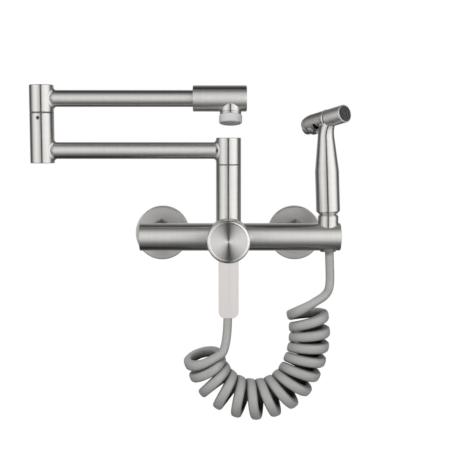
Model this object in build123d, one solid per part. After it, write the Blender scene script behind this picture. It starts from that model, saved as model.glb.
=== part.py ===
from build123d import *
import os
from math import acos, cos, erf, pi, radians, sin, sqrt, tan

# Wall-mounted kitchen faucet: a horizontal valve bar on two eccentric wall
# unions, a single lever, a spout folded on an elbow, and a hand sprayer docked
# on the bar with a curly hose. Sizes are in millimetres. Everything is drawn
# about the axis of the valve bar (+X right, -Y toward the user, +Z up), and
# save() moves it to the wall frame: the origin is on the finished wall, midway
# between the two inlets, with +Y into the wall.

# clearances
thread_fit = 0.08
running_fit = 0.05
seat_fit = 0.02
part_gap = 0.3

# wall connection
inlet_spacing = 150.0
bar_reach = 61.0
inlet_drop = 9.0
wall_thread_radius = 10.48
wall_thread_length = 15.0
wall_bore = 7.5
adapter_depth = 11.0
adapter_wall_radius = 11.5
union_thread_radius = 13.22
union_bore = 8.5
rosette_radius = 30.0
rosette_depth = 17.0
rosette_wall = 1.2
rosette_neck_length = 5.0
rosette_neck_wall = 1.7
rosette_chamfer = 1.0

# unions at the valve body
washer_thickness = 2.5
washer_radius = 12.0
leg_radius = 9.0
leg_bore = 6.5
flange_radius = 12.8
flange_thickness = 3.0
union_nut_flats = 30.0
union_nut_length = 15.0
union_nut_lip = 4.5
union_nut_gap = 5.0
nut_corner_chamfer = 1.2

# valve bar
bar_radius = 15.0
bar_wall = 2.5
bar_left = 94.0
bar_right = 119.0
block_half = 24.0
chamber_start = 97.0
chamber_partition = 6.0
cap_edge = 2.1
cap_dome = 1.3
cap_spigot_length = 2.2
supply_port_radius = 2.8
supply_port_x = 8.5
supply_port_depth = 2.0
mixed_port_radius = 2.5
mixed_port_z = 9.0
hose_port_radius = 3.0
hose_port_y = 7.0

# cartridge boss and riser
boss_radius = 21.5
boss_face = 27.0
boss_back = 2.0
cavity_radius = 17.7
cavity_floor = 3.0
nut_thread_radius = 20.0
riser_radius = 13.5
riser_bore = 11.0
riser_floor = 20.0
riser_top = 77.6

# mixing cartridge
base_thickness = 4.0
ceramic_thickness = 3.0
fixed_disc_radius = 15.2
moving_disc_radius = 10.5
moving_disc_offset = 2.8
disc_collar_height = 2.0
housing_fit = 0.2
housing_wall = 2.2
housing_roof = 1.5
neck_radius = 14.2
neck_wall = 1.5
neck_length = 5.5
lock_nut_thickness = 6.0
key_slot_width = 4.0
key_slot_depth = 2.0
turret_top = 31.0
pivot_depth = 29.0
pivot_pin_radius = 1.5
pivot_pin_length = 24.0
spindle_width = 8.0
spindle_height = 7.0
spindle_reach = 19.0
spindle_tip_gap = 0.8
lever_swing = 20.0

# dome ring and lever
dome_radius = 18.5
dome_wall = 1.2
dome_opening = 13.5
dome_flange = 1.0
lever_radius = 22.0
lever_wall = 2.1
lever_back = 36.0
lever_face = 54.0
lever_plate = 4.0
lever_chamfer = 0.8
hub_radius = 6.5
hub_length = 12.0
blade_width = 21.0
blade_thickness = 4.0
blade_end = 80.5
blade_corner = 7.5
grub_radius = 1.25
grub_depth = 41.0

# diverter in the riser
diverter_foot = 24.0
diverter_length = 20.0
diverter_bore = 6.0
shuttle_radius = 4.0
shuttle_length = 24.0

# swivels and arms
seal_width = 2.0
seal_depth = 1.8
slide_ring_thickness = 0.8
slide_ring_bore = 11.2
swivel_crown = 13.7
arm_radius = 9.0
arm_bore = 6.5
arm_stub = 4.0
arm_fillet = 3.0
lower_arm_height = 15.0
spigot_length = 22.6
spigot_shank_radius = 8.0
spigot_shank_length = 9.6
spigot_bore = 5.5
set_screw_drop = 9.6
set_groove_width = 5.0
set_groove_depth = 1.6
set_screw_radius = 2.0
column_edge = 0.6
elbow_x = 200.0
elbow_radius = 13.0
elbow_bore = 10.5
elbow_drop = 13.5
elbow_rise = 40.0
elbow_crown = 14.4
elbow_spigot_length = 21.4
elbow_screw_drop = 5.2
elbow_screw_turn = 9.0
upper_arm_rise = 15.5

# spout head and aerator
head_radius = 14.0
head_left_length = 38.0
head_right_length = 17.0
head_cap = 2.6
head_tilt = 11.0
head_bearing_length = 18.0
head_chamber = 11.0
head_plug_length = 5.0
retainer_play = 1.5
retainer_start = head_left_length - head_bearing_length - retainer_play
arm_overhang = 2.5
arm_end = retainer_start - arm_overhang
retainer_thickness = 1.0
retainer_radius = 10.8
retainer_gap = 5.0
head_seal_inset = 8.0
head_seal_x = head_left_length - head_seal_inset
outlet_x = 2.2
outlet_radius = 11.5
outlet_bore = 9.5
outlet_drop = 15.5
aerator_flange = 10.5
aerator_flange_thickness = 1.8
aerator_rise = 7.5
aerator_barrel = 8.3
aerator_length = 10.9
gasket_thickness = 1.5
collar_radius = 12.3
collar_length = 12.0
collar_edge = 0.8
spray_disc_radius = 9.6
spray_disc_thickness = 1.2
spray_hole_radius = 0.55
spray_ring_radius = 5.6
spray_hole_count = 10

# sprayer dock
dock_x = 108.0
dock_radius = 11.0
dock_bore = 8.5
dock_top = 24.3
dock_chamfer = 1.5
bush_bore = 6.6
bush_length = 5.0

# hand sprayer, about its own axis, which leans to the left from the dock
sprayer_lean = 2.2
handle_radius = 12.9
handle_edge = 3.2
nose_radius = 7.8
nose_length = 8.0
handle_bore = 6.6
handle_bore_depth = 14.0
taper_start = 47.1
neck_radius_top = 8.0
head_height = 102.5
neck_top_drop = 10.0
neck_top = head_height - neck_top_drop
head_turn = 37.7
head_rise = 9.4
barrel_radius = 9.5
barrel_front = 30.4
barrel_back = 5.0
barrel_rim = 1.1
barrel_edge = 0.7
barrel_back_edge = 1.2
nozzle_depth = 9.0
nozzle_recess = 0.8
flare_foot_drop = 22.5
flare_foot = head_height - flare_foot_drop
flare_top_drop = 4.0
flare_top = head_height - flare_top_drop
flare_reach = 6.5
core_radius = 6.0
core_back = 12.0
shell_wall = 1.6
shell_front = 4.4
shell_straight = 18.5
shell_cavity = 24.0
shell_shoulder = 38.0
shell_nose = 8.0
shell_tip = 1.0
shell_slot_half = 9.6
shell_slot_back = 13.5
shell_slot_top = 2.8
pad_radii = (8.1, 7.7)
pad_drops = (4.6, 3.1)
pad_places = (19.6, 28.6)
pad_length = 7.4
pad_edge = 2.6
press_pivot = 1.0
press_pivot_drop = 0.5
press_pin_radius = 1.0
plunger_radius = 2.0
plunger_offset = 8.0
plunger_length = 5.0

# curly hose
hose_radius = 4.8
hose_sides = 8
coil_radius = 17.5
coil_turns = 14
coil_overrun = 0.05
coil_steps = 57
coil_start = (83.4, -74.3)
coil_heading = -19.1
coil_bends = ((80.6, 94.9), (119.1, 54.9), (400.0, 123.1))
coil_pitch = 13.22
coil_spread = (3.82, 9.19, 4.99)
coil_lead_in = (6.17, 0.0, 1.0)
coil_lead_out = (-8.43, 14.3, 0.7)
hose_straight = 10.0
hose_nut_flats = 18.0
nipple_radius = 8.33
nipple_bore = 4.5
nipple_y = 6.0
nipple_end = 26.0
hose_nut_length = 10.5
hose_washer_thickness = 2.0
ferrule_flange_radius = 7.8
ferrule_radius = 6.0
ferrule_length = 22.0
dock_run_end = 25.0
upper_lead_start = 8.0
upper_lead_drop = 54.0
lower_lead_start = 9.0
lower_lead_corners = ((-1.8, -0.5, -110.5), (-0.8, 4.8, -87.0))
lower_lead_drop = 67.0

FRONT = (0, -1, 0)
BACK = (0, 1, 0)
LEFT = (-1, 0, 0)
RIGHT = (1, 0, 0)
SIDEWAYS = {FRONT: RIGHT, BACK: LEFT, LEFT: FRONT, RIGHT: BACK}


def facing(direction, x=0.0, y=0.0, z=0.0):
    """Frame at a point with its Z along the direction and its Y upright."""
    return Plane(origin=(x, y, z), x_dir=SIDEWAYS[direction], z_dir=direction).location


def turned(*profile):
    """Solid of revolution about Z from corners given as radius and height."""
    return revolve(Plane.XZ * make_face(Polyline(*profile, close=True)), Axis.Z)


def rod(radius, low, high):
    return Pos(0, 0, low) * Cylinder(radius, high - low, align=(Align.CENTER, Align.CENTER, Align.MIN))


def pipe(outer, inner, low, high):
    return rod(outer, low, high) - rod(inner, low - 1, high + 1)


def bore(radius, low, high):
    """Drill that starts and ends a hair beyond the given heights."""
    return rod(radius, low - 0.01, high + 0.01)


def hex_nut(flats, length):
    """Hexagon with a corner up and its corners turned off at both ends."""
    prism = extrude(RegularPolygon(flats / 2, 6, major_radius=False, rotation=30), length)
    corner = flats / sqrt(3)
    envelope = turned(
        (0, 0),
        (flats / 2 + 0.2, 0),
        (corner, nut_corner_chamfer),
        (corner, length - nut_corner_chamfer),
        (flats / 2 + 0.2, length),
        (0, length),
    )
    return prism & envelope


# heights above the bar axis, one from the other
swivel_foot = riser_top + slide_ring_thickness
arm_height_lower = swivel_foot + lower_arm_height
swivel_top = arm_height_lower + swivel_crown
elbow_foot = arm_height_lower - elbow_drop
elbow_seam = arm_height_lower + elbow_rise
elbow_upper_foot = elbow_seam + slide_ring_thickness
upper_arm_height = elbow_seam + upper_arm_rise
elbow_top = upper_arm_height + elbow_crown
set_groove_height = riser_top - set_screw_drop
elbow_screw_height = elbow_seam - elbow_screw_drop

# the wall side, by distance from the finished wall
union_stack = washer_thickness + flange_thickness + union_nut_lip
union_face = bar_reach - bar_radius - union_nut_gap - union_stack
flange_face = union_face + washer_thickness
leg_shoulder = flange_face + flange_thickness
union_nut_front = leg_shoulder + union_nut_lip
union_nut_back = union_nut_front - union_nut_length
inlets = {"left": -inlet_spacing / 2, "right": inlet_spacing / 2}


def wall_axis(x, z=0.0):
    """Frame on the finished wall that looks at the user, one inlet across."""
    return facing(FRONT, x, bar_reach, z)


def make_adapter(x):
    thread_circle = Pos(0, -inlet_drop) * Circle(adapter_wall_radius)
    union_circle = Circle(union_thread_radius)
    block = extrude(make_hull([thread_circle.edge(), union_circle.edge()]), adapter_depth)
    adapter = block + rod(union_thread_radius, adapter_depth, union_face)
    adapter += Pos(0, -inlet_drop) * rod(wall_thread_radius, -wall_thread_length, 0)
    adapter -= Pos(0, -inlet_drop) * bore(wall_bore, -wall_thread_length, adapter_depth * 0.7)
    adapter -= bore(union_bore, adapter_depth * 0.4, union_face)
    return wall_axis(x) * adapter


def make_rosette(x):
    hole = union_thread_radius + thread_fit
    inner = rosette_radius - rosette_wall
    neck = hole + rosette_neck_wall
    shell = turned(
        (rosette_radius, 0),
        (rosette_radius, rosette_depth - rosette_chamfer),
        (rosette_radius - rosette_chamfer, rosette_depth),
        (hole, rosette_depth),
        (hole, rosette_depth - rosette_neck_length),
        (neck, rosette_depth - rosette_neck_length),
        (neck, rosette_depth - rosette_wall),
        (inner, rosette_depth - rosette_wall),
        (inner, 0),
    )
    return wall_axis(x) * shell


def make_union_nut(x):
    nut = hex_nut(union_nut_flats, union_nut_length)
    nut -= bore(union_thread_radius + thread_fit, 0, union_nut_length - union_nut_lip)
    nut -= bore(leg_radius + 0.1, 0, union_nut_length)
    return wall_axis(x) * Pos(0, 0, union_nut_back) * nut


def make_washer(x):
    return wall_axis(x) * pipe(washer_radius, union_bore, union_face, flange_face)


# valve body
bar_bore = bar_radius - bar_wall
nipple_top = -bar_radius + 1.0


def make_valve_body():
    bar = facing(RIGHT) * rod(bar_radius, -bar_left, bar_right)
    boss = facing(FRONT) * rod(boss_radius, -boss_back, boss_face)
    body = bar + boss + rod(riser_radius, 0, riser_top)
    body += Pos(0, nipple_y) * rod(nipple_radius, -nipple_end, 0)
    for x in inlets.values():
        leg = rod(leg_radius, flange_face, bar_reach)
        leg += rod(flange_radius, flange_face, leg_shoulder)
        body += wall_axis(x) * leg
    across = facing(RIGHT)
    body -= across * bore(bar_bore, -bar_left, -block_half)
    body -= across * bore(bar_bore, block_half, chamber_start - chamber_partition)
    body -= across * bore(bar_bore, chamber_start, bar_right)
    for x in inlets.values():
        body -= wall_axis(x) * bore(leg_bore, flange_face, bar_reach)
    ahead = facing(FRONT)
    body -= ahead * bore(cavity_radius, cavity_floor, boss_face)
    body -= ahead * bore(nut_thread_radius, boss_face - lock_nut_thickness, boss_face)
    body -= bore(riser_bore, riser_floor, riser_top)
    for side in (-1, 1):
        reach = facing(RIGHT, 0, supply_port_depth)
        ends = sorted((side * supply_port_x, side * (block_half + 1)))
        body -= reach * bore(supply_port_radius, *ends)
        body -= facing(FRONT, side * supply_port_x) * bore(supply_port_radius, -supply_port_depth, cavity_floor)
    body -= Pos(0, 0.5) * bore(mixed_port_radius, mixed_port_z, riser_floor)
    body -= facing(FRONT, 0, 0, mixed_port_z) * bore(mixed_port_radius, -0.5, cavity_floor)
    body -= Pos(0, nipple_y) * bore(nipple_bore, -nipple_end, nipple_top)
    body -= Pos(0, hose_port_y) * bore(hose_port_radius, nipple_top, riser_floor)
    body -= Pos(dock_x) * bore(dock_bore, -bar_radius - 1, bar_radius + 1)
    screw_hole = bore(set_screw_radius + seat_fit, riser_bore - 1, riser_radius + 1)
    body -= facing(BACK, 0, 0, set_groove_height) * screw_hole
    return body


def make_bar_cap(direction, x):
    edge = 0.5
    dome = turned(
        (0, -cap_spigot_length),
        (bar_bore - running_fit, -cap_spigot_length),
        (bar_bore - running_fit, 0),
        (bar_radius, 0),
        (bar_radius, cap_edge - edge),
        (bar_radius - edge, cap_edge),
        (bar_radius * 0.6, cap_edge + cap_dome * 0.7),
        (bar_radius * 0.25, cap_edge + cap_dome),
        (0, cap_edge + cap_dome),
    )
    dome -= bore(bar_bore - bar_wall, -cap_spigot_length, 0)
    return facing(direction, x) * dome


# cartridge, by depth in front of the bar axis
disc_seat = cavity_floor + base_thickness
moving_seat = disc_seat + ceramic_thickness
moving_top = moving_seat + ceramic_thickness
housing_radius = cavity_radius - housing_fit
housing_bore = housing_radius - housing_wall
housing_top = boss_face - lock_nut_thickness
neck_bore = neck_radius - neck_wall
neck_top_depth = housing_top + neck_length
turret_radius = neck_bore - running_fit
turret_foot = moving_top + disc_collar_height + part_gap * 2
spindle_tip = moving_top + spindle_tip_gap


def slot(width, low, high, start, end):
    """Box across the front, from height low to high, by depth in front of the bar axis."""
    box = Box(width, high - low, end - start, align=(Align.CENTER, Align.MIN, Align.MIN))
    return Pos(0, low, start) * box


def make_cartridge_base():
    base = rod(housing_radius, cavity_floor, disc_seat)
    for x, z in ((-supply_port_x, 0), (supply_port_x, 0), (0, mixed_port_z)):
        base -= Pos(x, z) * bore(mixed_port_radius, cavity_floor, disc_seat)
    return facing(FRONT) * base


def make_fixed_disc():
    disc = rod(fixed_disc_radius, disc_seat, moving_seat)
    for x, z in ((-supply_port_x, 0), (supply_port_x, 0), (0, mixed_port_z)):
        disc -= Pos(x, z) * bore(mixed_port_radius, disc_seat, moving_seat)
    return facing(FRONT) * disc


def make_moving_disc():
    disc = rod(moving_disc_radius, moving_seat, moving_top)
    disc = Pos(0, moving_disc_offset) * disc
    collar_width = spindle_width + 2 * (part_gap + 1.6)
    reach = spindle_height / 2 + 0.7
    disc += slot(collar_width, -reach - 1.4, reach + 1.4, moving_seat, moving_top + disc_collar_height)
    disc -= slot(spindle_width + 2 * part_gap, -reach, reach, moving_top, moving_top + disc_collar_height + 1)
    return facing(FRONT) * disc


def make_housing():
    roof = housing_top - housing_roof
    return facing(FRONT) * turned(
        (housing_bore, disc_seat),
        (housing_radius, disc_seat),
        (housing_radius, housing_top),
        (neck_radius, housing_top),
        (neck_radius, neck_top_depth),
        (neck_bore, neck_top_depth),
        (neck_bore, roof),
        (housing_bore, roof),
    )


def spindle_sweep(depth):
    """How far the spindle leans at that depth when the lever is fully up: low and high edge."""
    angle = radians(lever_swing)
    lean = (depth - pivot_depth) * tan(angle)
    half = spindle_height / 2 / cos(angle)
    return lean - half, lean + half


def make_turret():
    roof = housing_top - housing_roof
    turret = turned(
        (0, turret_foot),
        (housing_bore - 0.4, turret_foot),
        (housing_bore - 0.4, roof - part_gap),
        (turret_radius, roof - part_gap),
        (turret_radius, turret_top),
        (0, turret_top),
    )
    low = spindle_sweep(turret_foot)[0] - part_gap
    high = spindle_sweep(turret_top)[1] + part_gap
    turret -= slot(spindle_width + 2 * part_gap, low, high, turret_foot - 1, turret_top + 1)
    turret -= Pos(0, 0, pivot_depth) * Rot(0, 90, 0) * bore(pivot_pin_radius + seat_fit, -20, 20)
    return facing(FRONT) * turret


def make_turret_pin():
    pin = rod(pivot_pin_radius, -pivot_pin_length / 2, pivot_pin_length / 2)
    return facing(RIGHT, 0, -pivot_depth) * pin


def make_lock_nut():
    nut = pipe(nut_thread_radius - thread_fit, neck_radius + 0.2, housing_top, boss_face)
    for turn in (0, 90):
        key_slot = slot(key_slot_width, -boss_radius, boss_radius, boss_face - key_slot_depth, boss_face + 1)
        nut -= Rot(0, 0, turn) * key_slot
    return facing(FRONT) * nut


def make_dome_ring():
    flange = pipe(boss_radius - 0.3, dome_radius - dome_wall, boss_face, boss_face + dome_flange)
    globe = Sphere(dome_radius) - Sphere(dome_radius - dome_wall)
    globe = Pos(0, 0, pivot_depth) * globe
    globe -= rod(dome_radius * 2, 0, boss_face)
    ring = flange + (globe - rod(dome_opening, boss_face, pivot_depth + dome_radius * 2))
    return facing(FRONT) * ring


# lever
plate_back = lever_face - lever_plate
blade_front = plate_back
blade_back = plate_back - blade_thickness
lever_bore = lever_radius - lever_wall
spindle_front = pivot_depth + spindle_reach


def make_lever_cap():
    cup = turned(
        (0, plate_back),
        (lever_bore, plate_back),
        (lever_bore, lever_back),
        (lever_radius, lever_back),
        (lever_radius, lever_face - lever_chamfer),
        (lever_radius - lever_chamfer, lever_face),
        (0, lever_face),
    )
    cup += rod(hub_radius, plate_back - hub_length, plate_back)
    socket_width = spindle_width + 2 * seat_fit
    socket_half = spindle_height / 2 + seat_fit
    cup -= slot(socket_width, -socket_half, socket_half, plate_back - hub_length - 1, spindle_front + seat_fit)
    cup -= slot(blade_width + 2 * seat_fit, -lever_radius - 1, -lever_bore + 4, blade_back - seat_fit, blade_front)
    down = Pos(0, 0, grub_depth) * Rot(90, 0, 0)
    cup -= down * bore(grub_radius + seat_fit, socket_half - 0.5, hub_radius + 1)
    cup -= down * bore(grub_radius + 0.6, lever_bore - 1, lever_radius + 1)
    return facing(FRONT) * cup


def make_lever_blade():
    half = blade_width / 2
    outline = Polyline(
        (-half, -lever_bore),
        (-half, -blade_end),
        (half, -blade_end),
        (half, -lever_bore),
        close=True,
    )
    sheet = make_face(outline)
    ends = sheet.vertices().sort_by(Axis.Y)[:2]
    sheet = fillet(ends, blade_corner)
    blade = extrude(sheet, blade_thickness)
    return facing(FRONT) * Pos(0, 0, blade_back) * blade


def make_spindle():
    half = spindle_height / 2
    spindle = slot(spindle_width, -half, half, spindle_tip, spindle_front)
    spindle -= Pos(0, 0, pivot_depth) * Rot(0, 90, 0) * bore(pivot_pin_radius + running_fit, -10, 10)
    return facing(FRONT) * spindle


def make_grub_screw():
    screw = rod(grub_radius, spindle_height / 2, hub_radius)
    return facing(FRONT) * Pos(0, 0, grub_depth) * Rot(90, 0, 0) * screw


# diverter
def make_diverter_sleeve():
    top = diverter_foot + diverter_length
    sleeve = pipe(riser_bore - 0.1, diverter_bore, diverter_foot, top)
    sleeve += pipe(diverter_bore, shuttle_radius + running_fit, top - 4, top)
    sleeve += pipe(diverter_bore, shuttle_radius + running_fit, diverter_foot, diverter_foot + 4)
    return sleeve


def make_diverter_shuttle():
    middle = diverter_foot + diverter_length / 2
    low = riser_floor + 1
    shuttle = rod(shuttle_radius, low, low + shuttle_length)
    shuttle += rod(diverter_bore - part_gap, middle - 4, middle - 2)
    return shuttle


# swivels
def make_spigot(radius, seam, length, shank_radius, groove_middle):
    """Turning spigot below a seam, its shank above it, with two seal grooves and a screw groove."""
    foot = seam - length
    spigot = rod(radius - running_fit, foot, seam)
    spigot += rod(shank_radius, seam, seam + spigot_shank_length + slide_ring_thickness)
    for low in seal_rows(seam, length):
        spigot -= pipe(radius + 1, radius - seal_depth, low, low + seal_width)
    half = set_groove_width / 2
    spigot -= pipe(radius + 1, radius - set_groove_depth, groove_middle - half, groove_middle + half)
    spigot -= bore(spigot_bore, foot, seam + spigot_shank_length + slide_ring_thickness)
    return spigot


def seal_rows(seam, length):
    return seam - length + 2.0, seam - length + 6.0


def make_seals(radius, seam, length):
    rows = [
        pipe(radius - seat_fit, radius - seal_depth + seat_fit, low + 0.1, low + seal_width - 0.1)
        for low in seal_rows(seam, length)
    ]
    return rows[0] + rows[1]


def make_slide_ring(outer, inner, low):
    return pipe(outer, inner, low, low + slide_ring_thickness)


def arm_hub(radius, low, high, arm_height, side):
    """Column piece with a filleted stub toward one side, bored for the water."""
    column = turned(
        (0, low),
        (radius - column_edge, low),
        (radius, low + column_edge),
        (radius, high - column_edge),
        (radius - column_edge, high),
        (0, high),
    )
    stub_end = radius + arm_stub
    across = facing(side, 0, 0, arm_height)
    hub = column + across * rod(arm_radius, 0, stub_end)
    root = hub.edges().filter_by(GeomType.BSPLINE)
    room = min(arm_height - low, high - arm_height) - arm_radius - column_edge - part_gap
    hub = fillet(root, min(arm_fillet, room))
    hub -= across * bore(arm_bore, 0, stub_end)
    return hub


swivel_stub_end = riser_radius + arm_stub
elbow_stub_end = elbow_x - elbow_radius - arm_stub
elbow_frame = Pos(-elbow_x)


def make_swivel_head():
    hub = arm_hub(riser_radius, swivel_foot, swivel_top, arm_height_lower, LEFT)
    hub -= bore(spigot_shank_radius + seat_fit, swivel_foot, swivel_foot + spigot_shank_length)
    hub -= bore(spigot_bore, swivel_foot, arm_height_lower)
    return hub


def make_arm(height, start, end):
    return facing(LEFT, 0, 0, height) * pipe(arm_radius, arm_bore, start, end)


def make_elbow_lower():
    hub = arm_hub(elbow_radius, elbow_foot, elbow_seam, arm_height_lower, RIGHT)
    spigot_foot = elbow_seam - elbow_spigot_length - 1.5
    hub -= bore(elbow_bore, spigot_foot, elbow_seam)
    hub -= bore(spigot_bore, arm_height_lower, spigot_foot)
    hole = bore(set_screw_radius + seat_fit, elbow_bore - 1, elbow_radius + 1)
    hub -= Rot(0, 0, -elbow_screw_turn) * facing(FRONT, 0, 0, elbow_screw_height) * hole
    return elbow_frame * hub


def make_elbow_upper():
    hub = arm_hub(elbow_radius, elbow_upper_foot, elbow_top, upper_arm_height, RIGHT)
    hub -= bore(spigot_shank_radius + seat_fit, elbow_upper_foot, elbow_upper_foot + spigot_shank_length)
    hub -= bore(spigot_bore, elbow_upper_foot, upper_arm_height)
    return elbow_frame * hub


def make_elbow_spigot():
    spigot = make_spigot(
        elbow_bore, elbow_seam, elbow_spigot_length, spigot_shank_radius, elbow_screw_height
    )
    return elbow_frame * spigot


def make_set_screw(direction, bore_radius, groove_depth, outer, height):
    screw = rod(set_screw_radius, bore_radius - groove_depth + 0.5, outer - 0.6)
    screw -= extrude(Pos(0, 0, outer - 1.8) * RegularPolygon(1.1, 6), 2)
    return facing(direction, 0, 0, height) * screw


# upper arm end and spout head, in the frame of the upper arm
arm_line = facing(RIGHT, 0, 0, upper_arm_height)
head_frame = Pos(0, 0, upper_arm_height) * Rot(-head_tilt, 0, 0)
down = Plane(origin=(outlet_x, 0, 0), x_dir=(1, 0, 0), z_dir=(0, 0, -1)).location
outlet_frame = head_frame * down


def make_upper_arm():
    tube = pipe(arm_radius, arm_bore, -elbow_stub_end, -arm_end)
    groove_low = -retainer_start - retainer_thickness
    tube -= pipe(arm_radius + 1, arm_radius - 1, groove_low, -retainer_start)
    seal_low = -head_seal_x - seal_width / 2
    tube -= pipe(arm_radius + 1, arm_radius - seal_depth * 0.7, seal_low, seal_low + seal_width)
    return arm_line * tube


def make_retainer():
    ring = pipe(retainer_radius, arm_radius - 1 + seat_fit, -retainer_start - retainer_thickness, -retainer_start)
    ring -= Pos(0, retainer_radius) * Box(retainer_gap, retainer_radius, 3 * retainer_start)
    return arm_line * ring


def make_head_seal():
    low = -head_seal_x - seal_width / 2
    inner = arm_radius - seal_depth * 0.7 + seat_fit
    return arm_line * pipe(arm_radius + running_fit - seat_fit, inner, low + 0.1, low + seal_width - 0.1)


def make_spout_head():
    edge = 0.6
    shell = turned(
        (0, -head_left_length),
        (head_radius - edge, -head_left_length),
        (head_radius, -head_left_length + edge),
        (head_radius, head_right_length),
        (0, head_right_length),
    )
    across = facing(RIGHT)
    shell = across * shell
    shell += down * rod(outlet_radius, 0, outlet_drop)
    shell -= across * bore(arm_radius + running_fit, -head_left_length, -head_left_length + head_bearing_length)
    shell -= across * bore(head_chamber, -head_left_length + head_bearing_length, head_right_length)
    shell -= down * bore(outlet_bore, 4, outlet_drop)
    lip = outlet_drop - aerator_flange_thickness
    shell -= down * bore(aerator_flange + running_fit, lip, outlet_drop)
    return head_frame * shell


def make_head_plug():
    edge = 0.8
    plug = turned(
        (0, -head_plug_length),
        (head_chamber - running_fit, -head_plug_length),
        (head_chamber - running_fit, 0),
        (head_radius, 0),
        (head_radius, head_cap - edge),
        (head_radius - edge, head_cap),
        (0, head_cap),
    )
    plug -= bore(head_chamber - 2, -head_plug_length, -1)
    return head_frame * facing(RIGHT, head_right_length) * plug


# aerator, by distance below the axis of the spout head
aerator_top = outlet_drop - aerator_flange_thickness - aerator_rise
barrel_end = outlet_drop + aerator_length
collar_top = outlet_drop + 0.4
collar_end = collar_top + collar_length


def make_aerator_body():
    body = turned(
        (0, aerator_top),
        (outlet_bore - running_fit, aerator_top),
        (outlet_bore - running_fit, outlet_drop - aerator_flange_thickness),
        (aerator_flange, outlet_drop - aerator_flange_thickness),
        (aerator_flange, outlet_drop),
        (aerator_barrel, outlet_drop),
        (aerator_barrel, barrel_end),
        (0, barrel_end),
    )
    body -= bore(aerator_barrel - 2, aerator_top, barrel_end - 2)
    return outlet_frame * body


def make_gasket():
    return outlet_frame * pipe(outlet_bore - 0.1, aerator_barrel - 2, aerator_top - gasket_thickness, aerator_top)


def make_spray_disc():
    disc = rod(spray_disc_radius, barrel_end, barrel_end + spray_disc_thickness)
    for step in range(spray_hole_count):
        angle = 2 * pi * step / spray_hole_count
        place = Pos(spray_ring_radius * cos(angle), spray_ring_radius * sin(angle))
        disc -= place * bore(spray_hole_radius, barrel_end, barrel_end + spray_disc_thickness)
    return outlet_frame * disc


def make_collar():
    collar = turned(
        (aerator_barrel + running_fit, collar_top),
        (collar_radius - collar_edge, collar_top),
        (collar_radius, collar_top + collar_edge),
        (collar_radius, collar_end - collar_edge),
        (collar_radius - collar_edge, collar_end),
        (spray_disc_radius + part_gap, collar_end),
        (spray_disc_radius + part_gap, barrel_end - part_gap),
        (aerator_barrel + running_fit, barrel_end - part_gap),
    )
    return outlet_frame * collar


# sprayer dock
def make_dock_sleeve():
    sleeve = turned(
        (dock_bore, 0),
        (dock_radius, 0),
        (dock_radius, dock_top - dock_chamfer),
        (dock_radius - dock_chamfer, dock_top),
        (dock_bore, dock_top),
    )
    sleeve = Pos(dock_x) * sleeve
    return sleeve - facing(RIGHT) * rod(bar_radius + seat_fit, dock_x - 40, dock_x + 40)


def make_guide_bush():
    ring = pipe(dock_bore - seat_fit, bush_bore, -bar_radius - 1, -bar_radius - 1 + bush_length)
    return Pos(dock_x) * ring


# hand sprayer
sprayer_frame = Pos(dock_x, 0, dock_top) * Rot(0, -sprayer_lean, 0)
head_azimuth = radians(head_turn)
head_slope = radians(head_rise)
head_line = Plane(
    origin=(0, 0, head_height),
    x_dir=(cos(head_azimuth), sin(head_azimuth), 0),
    z_dir=(sin(head_azimuth) * cos(head_slope), -cos(head_azimuth) * cos(head_slope), sin(head_slope)),
).location
seat_lift = part_gap + (handle_radius - handle_edge) * sin(radians(sprayer_lean))


def neck_radius_at(height):
    share = (height - taper_start) / (neck_top - taper_start)
    return handle_radius + (neck_radius_top - handle_radius) * share


def make_flare():
    """Neck that widens forward under the barrel, as a loft through ellipses."""
    sections = []
    for share in (0.0, 0.45, 0.8, 1.0):
        height = flare_foot + (flare_top - flare_foot) * share
        radius = neck_radius_at(height)
        forward = flare_reach * share ** 3
        spot = Plane(
            origin=(forward / 2 * sin(head_azimuth), -forward / 2 * cos(head_azimuth), height),
            x_dir=(sin(head_azimuth), -cos(head_azimuth), 0),
            z_dir=(0, 0, 1),
        )
        outline = Ellipse(radius + forward / 2, radius) if share else Circle(radius)
        sections.append(spot * outline)
    return loft(sections)


def make_sprayer_body():
    body = turned(
        (0, -nose_length),
        (nose_radius, -nose_length),
        (nose_radius, seat_lift),
        (handle_radius - handle_edge, seat_lift),
        (handle_radius, seat_lift + handle_edge),
        (handle_radius, taper_start),
        (neck_radius_at(flare_foot), flare_foot),
        (0, flare_foot),
    )
    body += make_flare()
    body += head_line * turned(
        (0, barrel_back),
        (barrel_radius - barrel_back_edge, barrel_back),
        (barrel_radius, barrel_back + barrel_back_edge),
        (barrel_radius, barrel_front - barrel_edge),
        (barrel_radius - barrel_edge, barrel_front),
        (0, barrel_front),
    )
    body += head_line * rod(core_radius, -core_back, barrel_back)
    body -= head_line * bore(barrel_radius - barrel_rim, barrel_front - nozzle_depth, barrel_front)
    body -= bore(handle_bore, -nose_length, handle_bore_depth)
    body -= head_line * press_pin_frame * bore(press_pin_radius + running_fit, -20, 20)
    body -= head_line * plunger_frame * bore(plunger_radius + running_fit, core_radius - 5.5, core_radius + 3)
    return sprayer_frame * body


press_pin_frame = Pos(0, -press_pivot_drop, press_pivot) * Rot(0, 90, 0)
plunger_frame = Pos(0, 0, -plunger_offset) * Rot(-90, 0, 0)


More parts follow.
